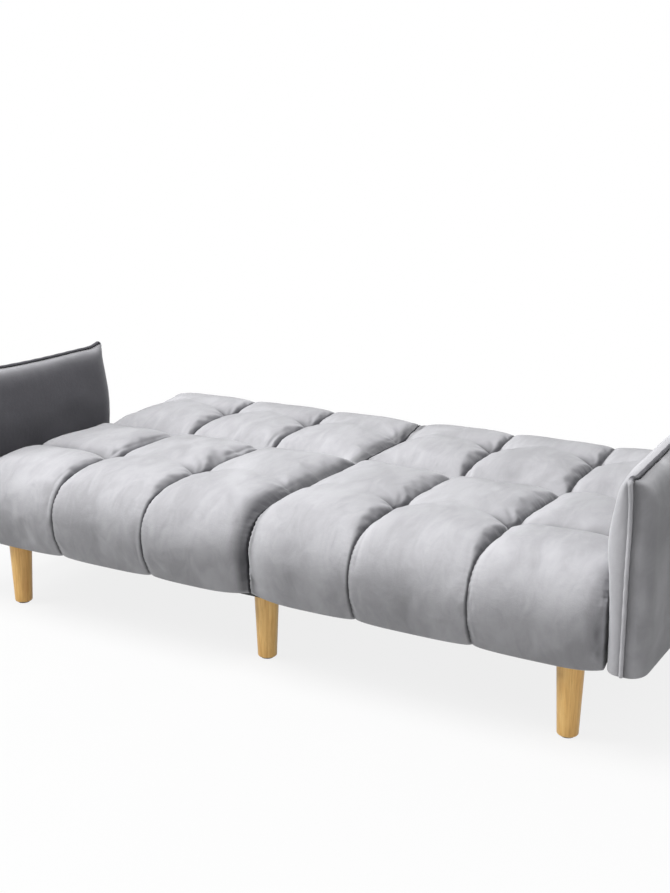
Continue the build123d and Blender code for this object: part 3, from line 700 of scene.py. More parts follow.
def back_outline(draw, nose_draw=NOSE_DRAW, lift=VALLEY_LIFT):
    """Side outline of a back lying level, drawn in as a seat's is; it has no nose."""
    count = {name: cells(length) for name, length in BACK_LENGTHS.items()}
    fade = 1 - CROWN_LOSS * draw
    crown = BACK_CROWN - BACK_CHANNEL * draw
    near = HINGE_Y + HINGE_SLIT - PLATE_SHUT * (lift - VALLEY_LIFT)
    valley = (near, HINGE_Z + lift - VALLEY_LIFT * (1 - fade))
    ridge = (HINGE_Y + BACK_ROUND, crown)
    row = (HINGE_Y + BACK_ROW, crown - ROW_TUCK * fade)
    tip = (back_high.y - FAR_DRAW * draw, BACK_BOTTOM + FAR_TIP)
    shoulder = (tip[0] - FAR_RUN, crown)
    far_foot = (back_high.y - FAR_TUCK, BACK_BOTTOM)
    near_foot = (near, BACK_BOTTOM)
    return Outline((
        ("rear", near_foot, valley, 0, REAR_CELLS),
        ("round", valley, ridge, ROUND_CROWN * fade, count["round"]),
        ("row_one", ridge, row, BACK_ROW_CROWN * fade, count["row_one"]),
        ("row_two", row, shoulder, REAR_CROWN * fade, count["row_two"]),
        ("roll", shoulder, tip, rise_for(shoulder, tip, DOWN, at_end=True), count["roll"]),
        ("front", tip, far_foot, rise_for(tip, far_foot, DOWN), count["front"]),
        ("under", far_foot, near_foot, 0, BACK_UNDER_CELLS),
    ))


# Meshes

def new_piece(name, points, faces, finish):
    """A mesh object at the origin with its place in its mesh."""
    mesh = bpy.data.meshes.new(name)
    mesh.from_pydata([tuple(p) for p in points], [], faces)
    mesh.update()
    piece = bpy.data.objects.new(name, mesh)
    bpy.context.scene.collection.objects.link(piece)
    mesh.materials.append(finish)
    return piece


def grid_faces(numbers, closed=False):
    """Quads between the rows and columns of a grid of vertex numbers, back to its first column if closed."""
    ahead = np.roll(numbers, -1, axis=1)
    quads = np.stack((numbers[:-1], ahead[:-1], ahead[1:], numbers[1:]), 2)
    if not closed:
        quads = quads[:, :-1]
    return quads.reshape(-1, 4).tolist()


def numbered(rows, columns):
    """Vertex numbers of a grid, row by row."""
    return np.arange(rows * columns).reshape(rows, columns)


def only(piece):
    """Selects this piece alone and makes it active."""
    bpy.ops.object.select_all(action="DESELECT")
    piece.select_set(True)
    bpy.context.view_layer.objects.active = piece


def outward(piece):
    """Turns all faces outwards and shades the piece smooth."""
    only(piece)
    bpy.ops.object.mode_set(mode="EDIT")
    bpy.ops.mesh.select_all(action="SELECT")
    bpy.ops.mesh.normals_make_consistent(inside=False)
    bpy.ops.object.mode_set(mode="OBJECT")
    bpy.ops.object.shade_smooth()


def subdivide(piece, levels=1):
    """A smooth subdivision, applied."""
    only(piece)
    modifier = piece.modifiers.new("Smooth", "SUBSURF")
    modifier.levels = levels
    modifier.render_levels = levels
    bpy.ops.object.modifier_apply(modifier=modifier.name)


def listed(items, key, width):
    """One row of that many numbers for each item of a mesh."""
    flat = np.empty(len(items) * width)
    items.foreach_get(key, flat)
    return flat.reshape(-1, width)


def places(piece):
    """The piece's vertices as an array."""
    return listed(piece.data.vertices, "co", 3)


def unit_normals(piece):
    """The normals of the piece's vertices as an array."""
    return listed(piece.data.vertex_normals, "vector", 3)


def move_to(piece, points):
    """Puts the piece's vertices there."""
    piece.data.vertices.foreach_set("co", points.reshape(-1))
    piece.data.update()


def store(piece, name, values):
    """Keeps one number per vertex on the piece."""
    attribute = piece.data.attributes.new(name, "FLOAT", "POINT")
    attribute.data.foreach_set("value", np.asarray(values, np.float32))


def take(piece, name):
    """The numbers kept on the piece under that name, which it then no longer holds."""
    attribute = piece.data.attributes[name]
    values = listed(attribute.data, "value", 1)[:, 0]
    piece.data.attributes.remove(attribute)
    return values


def turn_about_hinge(piece, angle):
    """Turns a back's mesh about the hinge line to the way it lies."""
    points = places(piece)
    y = points[:, 1] - HINGE_Y
    z = points[:, 2] - HINGE_Z
    points[:, 1] = HINGE_Y + y * math.cos(angle) - z * math.sin(angle)
    points[:, 2] = HINGE_Z + y * math.sin(angle) + z * math.cos(angle)
    move_to(piece, points)


def eased(share):
    """A share from 0 to 1 that starts and ends gently."""
    return share * share * (3 - 2 * share)


def smooth_noise(count_x, count_y, cells_x, cells_y, seed):
    """A smooth field of noise on a grid, between -1 and 1."""
    source = np.random.default_rng(seed).uniform(-1, 1, (cells_x + 3, cells_y + 3))
    x = np.linspace(0, cells_x, count_x)
    y = np.linspace(0, cells_y, count_y)
    ix = np.minimum(x.astype(int), cells_x)
    iy = np.minimum(y.astype(int), cells_y)
    fx = eased((x - ix)[:, None])
    fy = eased((y - iy)[None, :])
    low = source[np.ix_(ix, iy)] * (1 - fx) + source[np.ix_(ix + 1, iy)] * fx
    high = source[np.ix_(ix, iy + 1)] * (1 - fx) + source[np.ix_(ix + 1, iy + 1)] * fx
    return low * (1 - fy) + high * fy


# Quilted covers of the seats and backs

class Quilt:
    """The grid of one half's cover: rings along X, from the split to the arm, of points round an outline."""

    def __init__(self, outline, seed):
        self.outline = outline
        self.seed = seed
        self.crown = outline(0.0)
        self.is_seat = "hem" in self.crown.starts
        self.set_rings()
        self.set_way_round()

    def set_rings(self):
        """Where each ring is: its X, its column and share of it, its distance from a seam."""
        share = np.arange(COLUMN_CELLS) / COLUMN_CELLS
        closer = share - SEAM_CLOSENESS * np.sin(2 * math.pi * share) / (2 * math.pi)
        self.steps = np.concatenate([column + closer for column in range(COLUMNS)] + [[COLUMNS]])
        inside = self.steps % 1
        pitch = (X_OUT - X_IN - 2 * CUSHION_GAP) / COLUMNS
        self.x = X_IN + CUSHION_GAP + self.steps * pitch
        self.away = np.minimum(inside, 1 - inside) * PITCH
        self.slack = np.clip(1 - 2 * self.away / PITCH, 0, 1)
        self.inner = self.steps < 0.5
        self.outer = self.steps > COLUMNS - 0.5
        self.by_arm = (self.steps > COLUMNS - 1) & self.is_seat
        outer_hold = SEAT_END_TUFT if self.is_seat else 0.0
        self.held = np.where(self.inner, INNER_END_TUFT, np.where(self.outer, outer_hold, 1.0))

    def set_way_round(self):
        """Where each point is: its way round the outline, how far from the row, and if it is shown."""
        starts = self.crown.starts
        steps = np.hypot(*np.diff(self.crown.points, axis=0).T)
        self.path = np.concatenate(([0], np.cumsum(steps)))
        self.from_row = self.path - self.path[starts["row_two"]]
        first = starts["front"] if self.is_seat else starts["round"]
        last = starts["rear"] if self.is_seat else starts["under"]
        self.shown = np.zeros(len(self.path))
        self.shown[first:last] = 1
        self.shown[first:first + SHOWN_FADE_CELLS] = np.linspace(0, 1, SHOWN_FADE_CELLS)
        self.shown[last - SHOWN_FADE_CELLS:last] = np.linspace(1, 0, SHOWN_FADE_CELLS)

    def noise(self, lumps, draw=0):
        """Smooth noise over the whole grid."""
        return smooth_noise(len(self.x), len(self.path), *lumps, self.seed + draw)

    def pull(self, reach, by_arm):
        """How hard the row's tuck holds each ring: most at the seams, and all along a column by an arm."""
        hold = self.held * np.exp(-(self.away / reach) ** 2)
        return np.where(self.by_arm, np.maximum(hold, by_arm), hold)


def channel_draw(quilt):
    """How far each ring is drawn in: 0 on a crown, 1 at a seam, less or more at the two ends."""
    slack = quilt.slack
    seam = (1 - PINCH_SHARE) * slack ** CHANNEL_POWER + PINCH_SHARE * np.exp(-quilt.away / PINCH_REACH)
    inner_end = INNER_END_DRAW * slack ** INNER_END_POWER
    depth, power = (SEAT_END_DRAW, SEAT_END_POWER) if quilt.is_seat else (BACK_END_DRAW, BACK_END_POWER)
    return np.where(quilt.inner, inner_end, np.where(quilt.outer, depth * slack ** power, seam))


def seat_share(quilt):
    """The draw of a seat's rings at every point; its ends turn in differently at the front and on top."""
    share = np.repeat(channel_draw(quilt)[:, None], len(quilt.path), 1)
    start = quilt.crown.starts["row_one"]
    front = np.clip((start - np.arange(len(quilt.path))) / FRONT_FADE_CELLS, 0, 1)[None]
    outer_front = (quilt.slack ** OUTER_FRONT_POWER)[:, None]
    inner_top = (INNER_END_DRAW * quilt.slack ** INNER_TOP_POWER)[:, None]
    share = np.where(quilt.outer[:, None], share + (outer_front - share) * front, share)
    return np.where(quilt.inner[:, None], inner_top + (share - inner_top) * front, share)


def back_share(quilt):
    """The draw of a back's rings at every point; its channels run out towards its far edge."""
    row = quilt.crown.starts["row_two"]
    tip = quilt.crown.starts["front"]
    beyond = np.clip((np.arange(len(quilt.path)) - row) / (tip - row), 0, 1)
    depth = 1 - (1 - FAR_CHANNEL) * eased(beyond)
    return channel_draw(quilt)[:, None] * depth[None]


def drawn_in(quilt, share, lift):
    """The rings drawn in at the seams and ends, as points in the YZ plane."""
    crown = quilt.outline(0.0, NOSE_DRAW, lift).points
    channel = quilt.outline(1.0, NOSE_DRAW, lift).points
    end = quilt.outline(1.0, END_NOSE_DRAW, lift).points
    is_end = (quilt.inner | quilt.outer)[:, None, None]
    return crown[None] + share[:, :, None] * np.where(is_end, (end - crown)[None], (channel - crown)[None])


def rings_over_plates(quilt):
    """The drawn-in rings in their places, lifted over the hinge plates at both ends."""
    share = seat_share(quilt) if quilt.is_seat else back_share(quilt)
    rings = drawn_in(quilt, share, VALLEY_LIFT)
    over_plates = drawn_in(quilt, share, PLATE_LIFT)
    from_end = np.minimum(quilt.steps, COLUMNS - quilt.steps) * PITCH
    near_plate = np.clip((PLATE_FAR - from_end) / (PLATE_FAR - PLATE_NEAR), 0, 1)[:, None, None]
    rings = rings + near_plate * (over_plates - rings)
    x = np.repeat(quilt.x[:, None, None], len(quilt.path), 1)
    return np.concatenate((x, rings), 2)


def unevenness(quilt):
    """Broad lumps and soft creases of the puffs."""
    lumps = UNEVEN_HEIGHT * quilt.noise(UNEVEN_LUMPS) * (1 - quilt.slack[:, None] ** 2)
    crease = 1 - 2 * np.abs(quilt.noise(CREASE_LUMPS, CREASE_SEED))
    patches = np.clip(quilt.noise(CREASE_PATCHES, CREASE_PATCH_SEED), 0, 1)
    return lumps + CREASE_HEIGHT * crease * patches


def row_tucks(quilt):
    """Depth of the tufts and of the sharp tuck along the row."""
    from_row = np.abs(quilt.from_row)[None]
    tuft = quilt.pull(TUFT_REACH, ARM_TUFT)[:, None] * np.exp(-(from_row / TUFT_WIDTH) ** TUFT_POWER)
    tuck = quilt.pull(TUCK_REACH, ARM_TUCK)[:, None] * np.exp(-from_row / TUCK_WIDTH)
    strength = TUCK_EVEN + TUCK_VARY * smooth_noise(len(quilt.x), 1, *TUCK_LUMPS, quilt.seed + TUCK_SEED)
    return TUFT_DEPTH * tuft + TUCK_DEPTH * tuck * strength


def gathers(quilt):
    """Small folds that radiate from the crossings of seams and row."""
    radius = np.hypot(quilt.away[:, None], quilt.from_row[None])
    angle = np.arctan2(quilt.from_row[None], quilt.away[:, None] + SAME_PLACE)
    wander = GATHER_WANDER * quilt.noise(GATHER_LUMPS, WANDER_SEED)
    reach = np.exp(-radius / GATHER_REACH) * (1 - np.exp(-radius / GATHER_EYE))
    return GATHER_HEIGHT * np.cos(GATHER_COUNT * angle + wander) * reach


def puckers(quilt):
    """Soft puckers on both sides of the seams."""
    lumps = (2 * COLUMNS, round(quilt.path[-1] / PUCKER_LENGTH))
    near_seam = np.exp(-quilt.away / PUCKER_REACH)[:, None]
    return PUCKER_HEIGHT * quilt.noise(lumps, PUCKER_SEED) * near_seam


def side_folds(quilt):
    """Depth of the folds that run beside some stretches of the seams."""
    beside = np.where(quilt.steps % 1 < 0.5, quilt.away, np.inf)
    fold = np.exp(-((beside - FOLD_OFFSET) / FOLD_WIDTH) ** 2)[:, None]
    return FOLD_DEPTH * fold * np.clip(quilt.noise(FOLD_LUMPS, FOLD_SEED) * FOLD_GAIN, 0, 1)


def quilted_points(quilt):
    """The points of one half's cover on the right, with its relief, before it is stuffed."""
    points = rings_over_plates(quilt)
    relief = unevenness(quilt) + gathers(quilt) + puckers(quilt) - row_tucks(quilt) - side_folds(quilt)
    relief = relief - STUFFING_ROOM * (1 - quilt.slack[:, None])
    along = np.gradient(points, axis=0)
    around = np.roll(points, -1, axis=1) - np.roll(points, 1, axis=1)
    normal = np.cross(along, around)
    normal = normal / np.maximum(np.linalg.norm(normal, axis=2, keepdims=True), LEAST_LENGTH)
    outwards = np.sign(normal[:, quilt.crown.starts["row_two"], 2].sum())
    return points + outwards * normal * (relief * quilt.shown[None])[:, :, None]


def painted_seam_shade(quilt):
    """Painted shade in the depth of the seams, at the split and beyond the row's tuck."""
    deep = (channel_draw(quilt) - SEAM_DARK_FROM) / (SEAM_DARK_FULL - SEAM_DARK_FROM)
    deep = np.clip(deep, 0, 1) * np.where(quilt.inner, INNER_END_DARK, ~quilt.outer)
    reach = np.where(quilt.from_row > 0, ROW_SHADE_FAR, ROW_SHADE_NEAR)
    beyond_row = np.exp(-np.abs(quilt.from_row) / reach)
    row = ROW_SHADE * quilt.pull(TUCK_REACH, ARM_TUCK)[:, None] ** 2 * beyond_row[None]
    return np.maximum(deep[:, None], row) * (quilt.shown > 0)[None]


def pinned(quilt):
    """How firmly the cover is held while it is stuffed: at its seams, its row and where it isn't shown."""
    at_seam = (quilt.away < SAME_PLACE)[:, None]
    at_row = (np.abs(quilt.from_row) < 0.5 * CELL)[None]
    row_pin = (ROW_PIN * quilt.held * np.exp(-(quilt.away / ROW_PIN_REACH) ** 2))[:, None] * at_row
    return np.maximum(np.maximum(at_seam, row_pin), (quilt.shown < 1)[None])


def capped(points):
    """The rings of a cover closed at both ends by rings that shrink inwards."""
    caps = []
    for ring, outwards in ((points[0], -1), (points[-1], 1)):
        middle = ring.mean(0)
        cap = []
        for share, bulge in zip(CAP_SHARES, CAP_BULGES):
            smaller = middle + (ring - middle) * share
            smaller[:, 0] = ring[:, 0] + outwards * bulge
            cap.append(smaller)
        caps.append(cap)
    return np.array(caps[0][::-1] + list(points) + caps[1])


def capped_mark(values, inner, outer, middle):
    """One number per vertex of a capped cover: its rings' values, those of its caps and of their middles."""
    cap = (len(CAP_SHARES), values.shape[1])
    rings = np.concatenate((np.full(cap, inner), values, np.full(cap, outer)))
    return np.concatenate((rings.reshape(-1), (middle, middle)))


def cushion(name, outline, seed, mirrored):
    """One quilted cushion as a closed mesh, stuffed."""
    quilt = Quilt(outline, seed)
    points = capped(quilted_points(quilt))
    if mirrored:
        points = points * np.array((-1, 1, 1))
    numbers = numbered(*points.shape[:2])
    ahead = np.roll(numbers, -1, axis=1)
    faces = grid_faces(numbers, closed=True)
    for inner, inner_ahead, outer, outer_ahead in zip(numbers[0], ahead[0], numbers[-1], ahead[-1]):
        faces.append((numbers.size, int(inner_ahead), int(inner)))
        faces.append((numbers.size + 1, int(outer), int(outer_ahead)))
    middles = np.array((points[0].mean(0), points[-1].mean(0)))
    piece = new_piece(name, np.concatenate((points.reshape(-1, 3), middles)), faces, FABRIC)
    run = np.repeat(quilt.path[None], len(quilt.x), 0)
    gathered = np.exp(-quilt.away / STITCH_REACH)[:, None] * quilt.shown[None]
    # Painted shade of the seams, the split and the rows, kept as the seam attribute
    store(piece, "seam", capped_mark(painted_seam_shade(quilt), INNER_END_DARK, 0, 0))
    store(piece, "run", capped_mark(run, quilt.path, quilt.path, 0))
    store(piece, "gathered", capped_mark(gathered, 0, 0, 0))
    outward(piece)
    stuff(piece, capped_mark(pinned(quilt), 1, 1, 1))
    return piece


def stuff(piece, pins):
    """Blows the cover up between its pinned seams as slack cloth, no further than the stuffing reaches."""
    before = places(piece)
    group = piece.vertex_groups.new(name="pins")
    levels = np.round(pins * PIN_LEVELS).astype(int)
    for level in range(1, PIN_LEVELS + 1):
        group.add(np.flatnonzero(levels == level).tolist(), level / PIN_LEVELS, "REPLACE")
    only(piece)
    modifier = piece.modifiers.new("Stuffing", "CLOTH")
    for setting, value in STUFFING_CLOTH.items():
        setattr(modifier.settings, setting, value)
    modifier.settings.vertex_group_mass = group.name
    modifier.settings.effector_weights.gravity = 0
    modifier.collision_settings.use_collision = False
    modifier.collision_settings.use_self_collision = False
    modifier.point_cache.frame_start = 1
    modifier.point_cache.frame_end = STUFFING_FRAMES
    for moment in range(1, STUFFING_FRAMES + 1):
        bpy.context.scene.frame_set(moment)
    bpy.ops.object.modifier_apply(modifier=modifier.name)
    bpy.context.scene.frame_set(1)
    piece.vertex_groups.clear()
    moved = places(piece) - before
    far = np.linalg.norm(moved, axis=1, keepdims=True)
    move_to(piece, before + moved * np.minimum(1, STUFFING_REACH / np.maximum(far, LEAST_LENGTH)))


def paint_slope_shade_and_highlight(piece):
    """Paints shade on the slopes that face right and a highlight on those that face left, fading out on the outer
    end walls.
    """
    rightward = unit_normals(piece)[:, 0]
    on_top = np.clip((X_OUT - np.abs(places(piece)[:, 0])) / END_PANEL, 0, 1)
    # Painted shade on right-facing slopes and painted highlight on left-facing slopes
    store(piece, "against_pile", SLOPE_PAINTED_SHADE * on_top * np.clip((rightward - SLOPE_SHADE_TURN) / SLOPE_PAINT_SPREAD, 0, 1))
    store(piece, "with_pile", SLOPE_PAINTED_HIGHLIGHT * on_top * np.clip(-rightward / SLOPE_PAINT_SPREAD, 0, 1))


def stitch(piece):
    """Draws the fine puckers of the stitching along a cushion's seams."""
    points = places(piece)
    x = points[:, 0]
    run = take(piece, "run")
    drift = STITCH_DRIFT * np.sin(run / STITCH_DRIFT_LENGTH + STITCH_DRIFT_TURN * x)
    wave = np.sin(2 * math.pi * run / STITCH_PITCH + STITCH_SLANT * x + drift)
    strength = STITCH_EVEN + STITCH_VARY * np.sin(run / STITCH_VARY_LENGTH)
    height = STITCH_HEIGHT * wave * strength * take(piece, "gathered")
    move_to(piece, points + height[:, None] * unit_normals(piece))


def cushions():
    """Both seats and both backs."""
    for side in ("left", "right"):
        mirrored = side == "left"
        seed = SEED + LEFT_SEED if mirrored else SEED
        seat = cushion("seat_cover_" + side, seat_outline, seed, mirrored)
        subdivide(seat)
        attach(seat, "base")
        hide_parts("seat_cushion_" + side)
        back = cushion("back_cover_" + side, back_outline, seed + BACK_SEED, mirrored)
        turn_about_hinge(back, BED_TILT)
        subdivide(back)
        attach(back, "back_" + side)
        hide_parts("back_cushion_" + side)
        for piece in (seat, back):
            paint_slope_shade_and_highlight(piece)
            stitch(piece)


# Arms

def edge_places(depth):
    """Places within depth of a seam, closer together at the seam."""
    return depth * (1 - np.cos(np.linspace(0, math.pi / 2, ARM_EDGE_CELLS + 1)))


def full(share):
    """Thickness of a stuffed edge: 0 at its seam, 1 from the end of its rounding inwards."""
    return np.sin(np.arccos(1 - np.clip(share, 0, 1))) ** ARM_FULLNESS


class ArmGrid:
    """The grid of an arm's faces from the side: front to rear, foot to top, and how far from the welt."""

    def __init__(self, side):
        self.side = side
        self.sign = -1 if side == "left" else 1
        low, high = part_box("arm_pad_" + side)
        self.middle = (low + high) / 2
        self.half = (high - low) / 2
        length = 2 * self.half.y
        height = 2 * self.half.z
        near = edge_places(ARM_SIDE_DRAW)
        between = np.linspace(ARM_SIDE_DRAW, length - ARM_SIDE_DRAW, ARM_LONG_CELLS)[1:-1]
        top = edge_places(ARM_TOP_DRAW)
        lower = np.linspace(ARM_FOOT, height - ARM_TOP_DRAW, ARM_HIGH_CELLS)[:-1]
        y = np.concatenate((near, between, length - near[::-1])) - self.half.y
        z = np.concatenate(((0, ARM_FOOT_EDGE), lower, height - top[::-1])) - self.half.z
        self.y, self.z = np.meshgrid(y, z, indexing="ij")
        self.shape = self.y.shape
        self.to_side = self.half.y - np.abs(self.y)
        self.to_top = self.half.z - self.z
        self.to_welt = np.minimum(self.to_side, self.to_top)
        by_top = np.exp(-(self.to_top / ARM_ROLL_DEPTH) ** 2)
        self.top_roll = np.clip(self.to_side / ARM_ROLL_FROM, 0, 1) * by_top

    def is_inner(self, face):
        """Whether that face, -1 to the left and 1 to the right, looks at the seat."""
        return face != self.sign

    def noise(self, lumps, seed):
        """Smooth noise over a face."""
        return smooth_noise(*self.shape, *lumps, seed)


def round_corners(y, z, half):
    """Rounds the two upper corners of a rectangle of points."""
    p = np.maximum(np.abs(y) - (half.y - ARM_CORNER), 0) / ARM_CORNER
    q = np.maximum(z - (half.z - ARM_CORNER), 0) / ARM_CORNER
    new_y = np.sign(y) * (half.y - ARM_CORNER + ARM_CORNER * p * np.sqrt(1 - q * q / 2))
    new_z = half.z - ARM_CORNER + ARM_CORNER * q * np.sqrt(1 - p * p / 2)
    return np.where(p > 0, new_y, y), np.where(q > 0, new_z, z)


def arm_outline(grid):
    """Where the grid lies from the side: eared corners, drawn-in edges, full rear and drooping front."""
    half = grid.half
    y, z = round_corners(grid.y, grid.z, half)
    ear = ARM_EAR * np.exp(-(np.hypot(grid.to_side, grid.to_top) / ARM_EAR_REACH) ** 2)
    front_pull = ARM_EDGE_DRAW_IN * np.sin(np.clip(grid.to_top / half.z, 0, 1) * math.pi) ** 2
    rear_swell = ARM_REAR_SWELL * np.sin(np.clip(grid.to_top / (2 * half.z), 0, 1) * math.pi)
    side_pull = np.where(grid.y > 0, -rear_swell, front_pull)
    top_pull = ARM_EDGE_DRAW_IN * np.cos(grid.y / half.y * math.pi / 2) ** 2
    y = y + np.sign(grid.y) * (ear - side_pull * (np.abs(grid.y) / half.y) ** ARM_EDGE_POWER)
    z = z + ear - top_pull * np.clip(grid.z / half.z, 0, 1) ** ARM_EDGE_POWER
    from_front = np.clip((half.y + grid.y) / ARM_DROOP_REACH, 0, 1)
    height = np.clip((grid.z + half.z) / (2 * half.z), 0, 1)
    return y, z - ARM_DROOP[grid.side] * (1 - from_front) * height ** ARM_DROOP_POWER


def arm_body(grid, face):
    """Share of the arm's half thickness on a face: 0 at the welt, 1 inside its rounded edges."""
    side_draw = ARM_SIDE_DRAW if grid.is_inner(face) else ARM_OUTER_DRAW
    return full(grid.to_top / ARM_TOP_DRAW) * full(grid.to_side / side_draw)


def arm_puckers(grid):
    """Fine puckers along the welt."""
    along = np.where(grid.to_side < grid.to_top, grid.z, grid.y)
    wander = ARM_PUCKER_WANDER * grid.noise(ARM_PUCKER_LUMPS, ARM_PUCKER_SEED)
    reach = np.exp(-grid.to_welt / ARM_PUCKER_REACH) * (1 - np.exp(-grid.to_welt / ARM_PUCKER_SEAM))
    return ARM_PUCKER * np.sin(along / ARM_PUCKER_LENGTH + wander) * reach


def arm_bulge(grid):
    """How far an inner face swells over the seat."""
    over = grid.middle.z + grid.z - ARM_BULGE_AT
    swell = np.exp(-(over / np.where(over > 0, ARM_BULGE_ABOVE, ARM_BULGE_BELOW)) ** 2)
    return ARM_BULGE * swell * full(grid.to_side / ARM_BULGE_SIDE)


def arm_face(grid, face):
    """The points of one face of an arm."""
    y, z = arm_outline(grid)
    seed = ARM_SEED + ARM_FACE_SEED * face + ARM_SIDE_SEED * grid.sign
    relief = ARM_UNEVEN * grid.noise(ARM_LUMPS, seed) + arm_puckers(grid)
    thick = grid.half.x * arm_body(grid, face) + relief * np.clip(grid.to_welt / ARM_UNEVEN_FROM, 0, 1)
    if grid.is_inner(face):
        thick = thick + arm_bulge(grid)
        z = z + ARM_TOP_ROLL[grid.side] * grid.top_roll * (1 - np.exp(-grid.to_top / ARM_ROLL_SEAM))
    return np.stack((grid.middle.x + face * thick, grid.middle.y + y, grid.middle.z + z), 2)


def arm_painted_seam_shade(grid, face):
    """Painted shade on a face's velvet in the seam beside the welt."""
    return np.exp(-(arm_body(grid, face) / ARM_SEAM_SHARE) ** 2)


def arm_painted_shade(grid, face):
    """Painted shade on the face that looks right."""
    if face < 0:
        return np.zeros(grid.shape)
    return ARM_PAINTED_SHADE[grid.side] * (1 - np.exp(-grid.to_welt / ARM_PAINTED_SHADE_FROM))


def arm_rubs_and_painted_highlight(grid, face):
    """Random rubbed patches outside, and painted highlight at the front and on the top roll inside."""
    if not grid.is_inner(face):
        return ARM_RUB * np.clip(grid.noise(ARM_RUB_LUMPS, ARM_RUB_SEED), 0, 1)
    front = np.exp(-((grid.y + grid.half.y) / ARM_STRIP) ** 2)
    return ARM_PAINTED_HIGHLIGHT[grid.side] * np.maximum(front, ARM_TOP_PAINTED_HIGHLIGHT * grid.top_roll)


def arm_shell(shape):
    """Faces that join an arm's two grids along its welt and underside, as numbers of their points."""
    first = numbered(*shape)
    on_welt = np.zeros(shape, bool)
    on_welt[[0, -1]] = True
    on_welt[:, -1] = True
    second = np.where(on_welt, first, first + first.size)
    rows = [first[:, 0]]
    for number in range(len(ARM_UNDER_SHARES)):
        row = 2 * first.size + number * shape[0] + np.arange(shape[0])
        row[[0, -1]] = first[[0, -1], 0]
        rows.append(row)
    rows.append(second[:, 0])
    underside = [list(dict.fromkeys(quad)) for quad in grid_faces(np.array(rows))]
    return grid_faces(first.T) + grid_faces(second.T) + underside


def arm(side):
    """One arm: a pillow with a flat underside, its faces joined by a welt over front, top and rear."""
    grid = ArmGrid(side)
    left, right = [arm_face(grid, face) for face in (-1, 1)]
    underside = [left[:, 0] + share * (right[:, 0] - left[:, 0]) for share in ARM_UNDER_SHARES]
    points = np.concatenate((left.reshape(-1, 3), right.reshape(-1, 3), *underside))
    faces = arm_shell(grid.shape)
    used = np.unique([number for face in faces for number in face])
    faces = [np.searchsorted(used, face).tolist() for face in faces]
    piece = new_piece("arm_cover_" + side, points[used], faces, FABRIC)
    below = np.zeros(grid.shape[0] * len(ARM_UNDER_SHARES))
    # Painted seam shade, painted shade and painted highlight on the arm's faces, with random rubbed patches
    # outside
    marks = {"seam": arm_painted_seam_shade, "against_pile": arm_painted_shade, "with_pile": arm_rubs_and_painted_highlight}
    for name, mark in marks.items():
        store(piece, name, np.concatenate((*[mark(grid, face).reshape(-1) for face in (-1, 1)], below))[used])
    outward(piece)
    subdivide(piece)
    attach(piece, "base")
    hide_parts("arm_pad_" + side)
    welt(side, np.concatenate((left[0, :-1], left[:-1, -1], left[-1, ::-1])))


def welt(side, path):
    """Fabric-covered cord sewn between an arm's two faces."""
    ahead = np.gradient(path, axis=0)
    ahead = ahead / np.linalg.norm(ahead, axis=1, keepdims=True)
    across = np.array((1.0, 0, 0))
    out = np.cross(across, ahead)
    out = out * np.sign((out * (path - path.mean(0))).sum())
    core = path + out * WELT_RADIUS * WELT_STAND_OFF
    turns = np.linspace(0, 2 * math.pi, WELT_SIDES, endpoint=False)
    circle = np.cos(turns)[None, :, None] * out[:, None] + np.sin(turns)[None, :, None] * across[None, None]
    bend = np.linalg.norm(np.gradient(ahead, axis=0), axis=1)
    walk = np.concatenate(([0], np.cumsum(np.linalg.norm(np.diff(path, axis=0), axis=1))))
    pucker = WELT_PUCKER * np.sin(walk / WELT_PUCKER_LENGTH)
    swell = 1 + WELT_KNOT * np.clip(bend / bend.max(), 0, 1) + pucker
    rings = core[:, None] + WELT_RADIUS * swell[:, None, None] * circle
    numbers = numbered(len(path), WELT_SIDES)
    faces = grid_faces(numbers, closed=True) + [numbers[0].tolist(), numbers[-1].tolist()]
    piece = new_piece("arm_piping_" + side, rings.reshape(-1, 3), faces, WELT)
    # Painted shade on the level top run of the welt, painted highlight on its front and rear runs
    level = (np.abs(ahead[:, 1]) - WELT_LEVEL_FROM) / (WELT_LEVEL_FULL - WELT_LEVEL_FROM)
    level = np.repeat(np.clip(level, 0, 1), WELT_SIDES)
    store(piece, "seam", np.zeros(numbers.size))
    store(piece, "against_pile", WELT_TOP_PAINTED_SHADE * level)
    store(piece, "with_pile", WELT_FRONT_PAINTED_HIGHLIGHT * (1 - level))
    outward(piece)
    subdivide(piece)
    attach(piece, "base")
    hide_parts("arm_welt_" + side)


# Linings

def stapled_cloth(name, node, edges, level, bulge):
    """Thin cloth stretched under a frame, sagging a little and gathered at its staples."""
    x0, x1, y0, y1 = edges
    x, y = np.meshgrid(np.linspace(x0, x1, CLOTH_CELLS_X), np.linspace(y0, y1, CLOTH_CELLS_Y), indexing="ij")
    across = (x - x0) / (x1 - x0)
    along = (y - y0) / (y1 - y0)
    sag = np.sin(math.pi * across) ** SAG_POWER * np.sin(math.pi * along) ** SAG_POWER
    to_end = np.minimum(x - x0, x1 - x)
    to_side = np.minimum(y - y0, y1 - y)
    ripple = np.cos(2 * math.pi * (x - x0) / STAPLE_PITCH) * np.exp(-to_side / RIPPLE_REACH)
    ripple = ripple + np.cos(2 * math.pi * (y - y0) / STAPLE_PITCH) * np.exp(-to_end / RIPPLE_REACH)
    z = level - bulge * sag - CLOTH_RIPPLE * ripple * np.sqrt(sag)
    points = np.stack((x, y, z), 2).reshape(-1, 3)
    piece = new_piece(name, points, grid_faces(numbered(CLOTH_CELLS_X, CLOTH_CELLS_Y)), LINING)
    only(piece)
    bpy.ops.object.shade_smooth()
    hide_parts(node)
    return piece


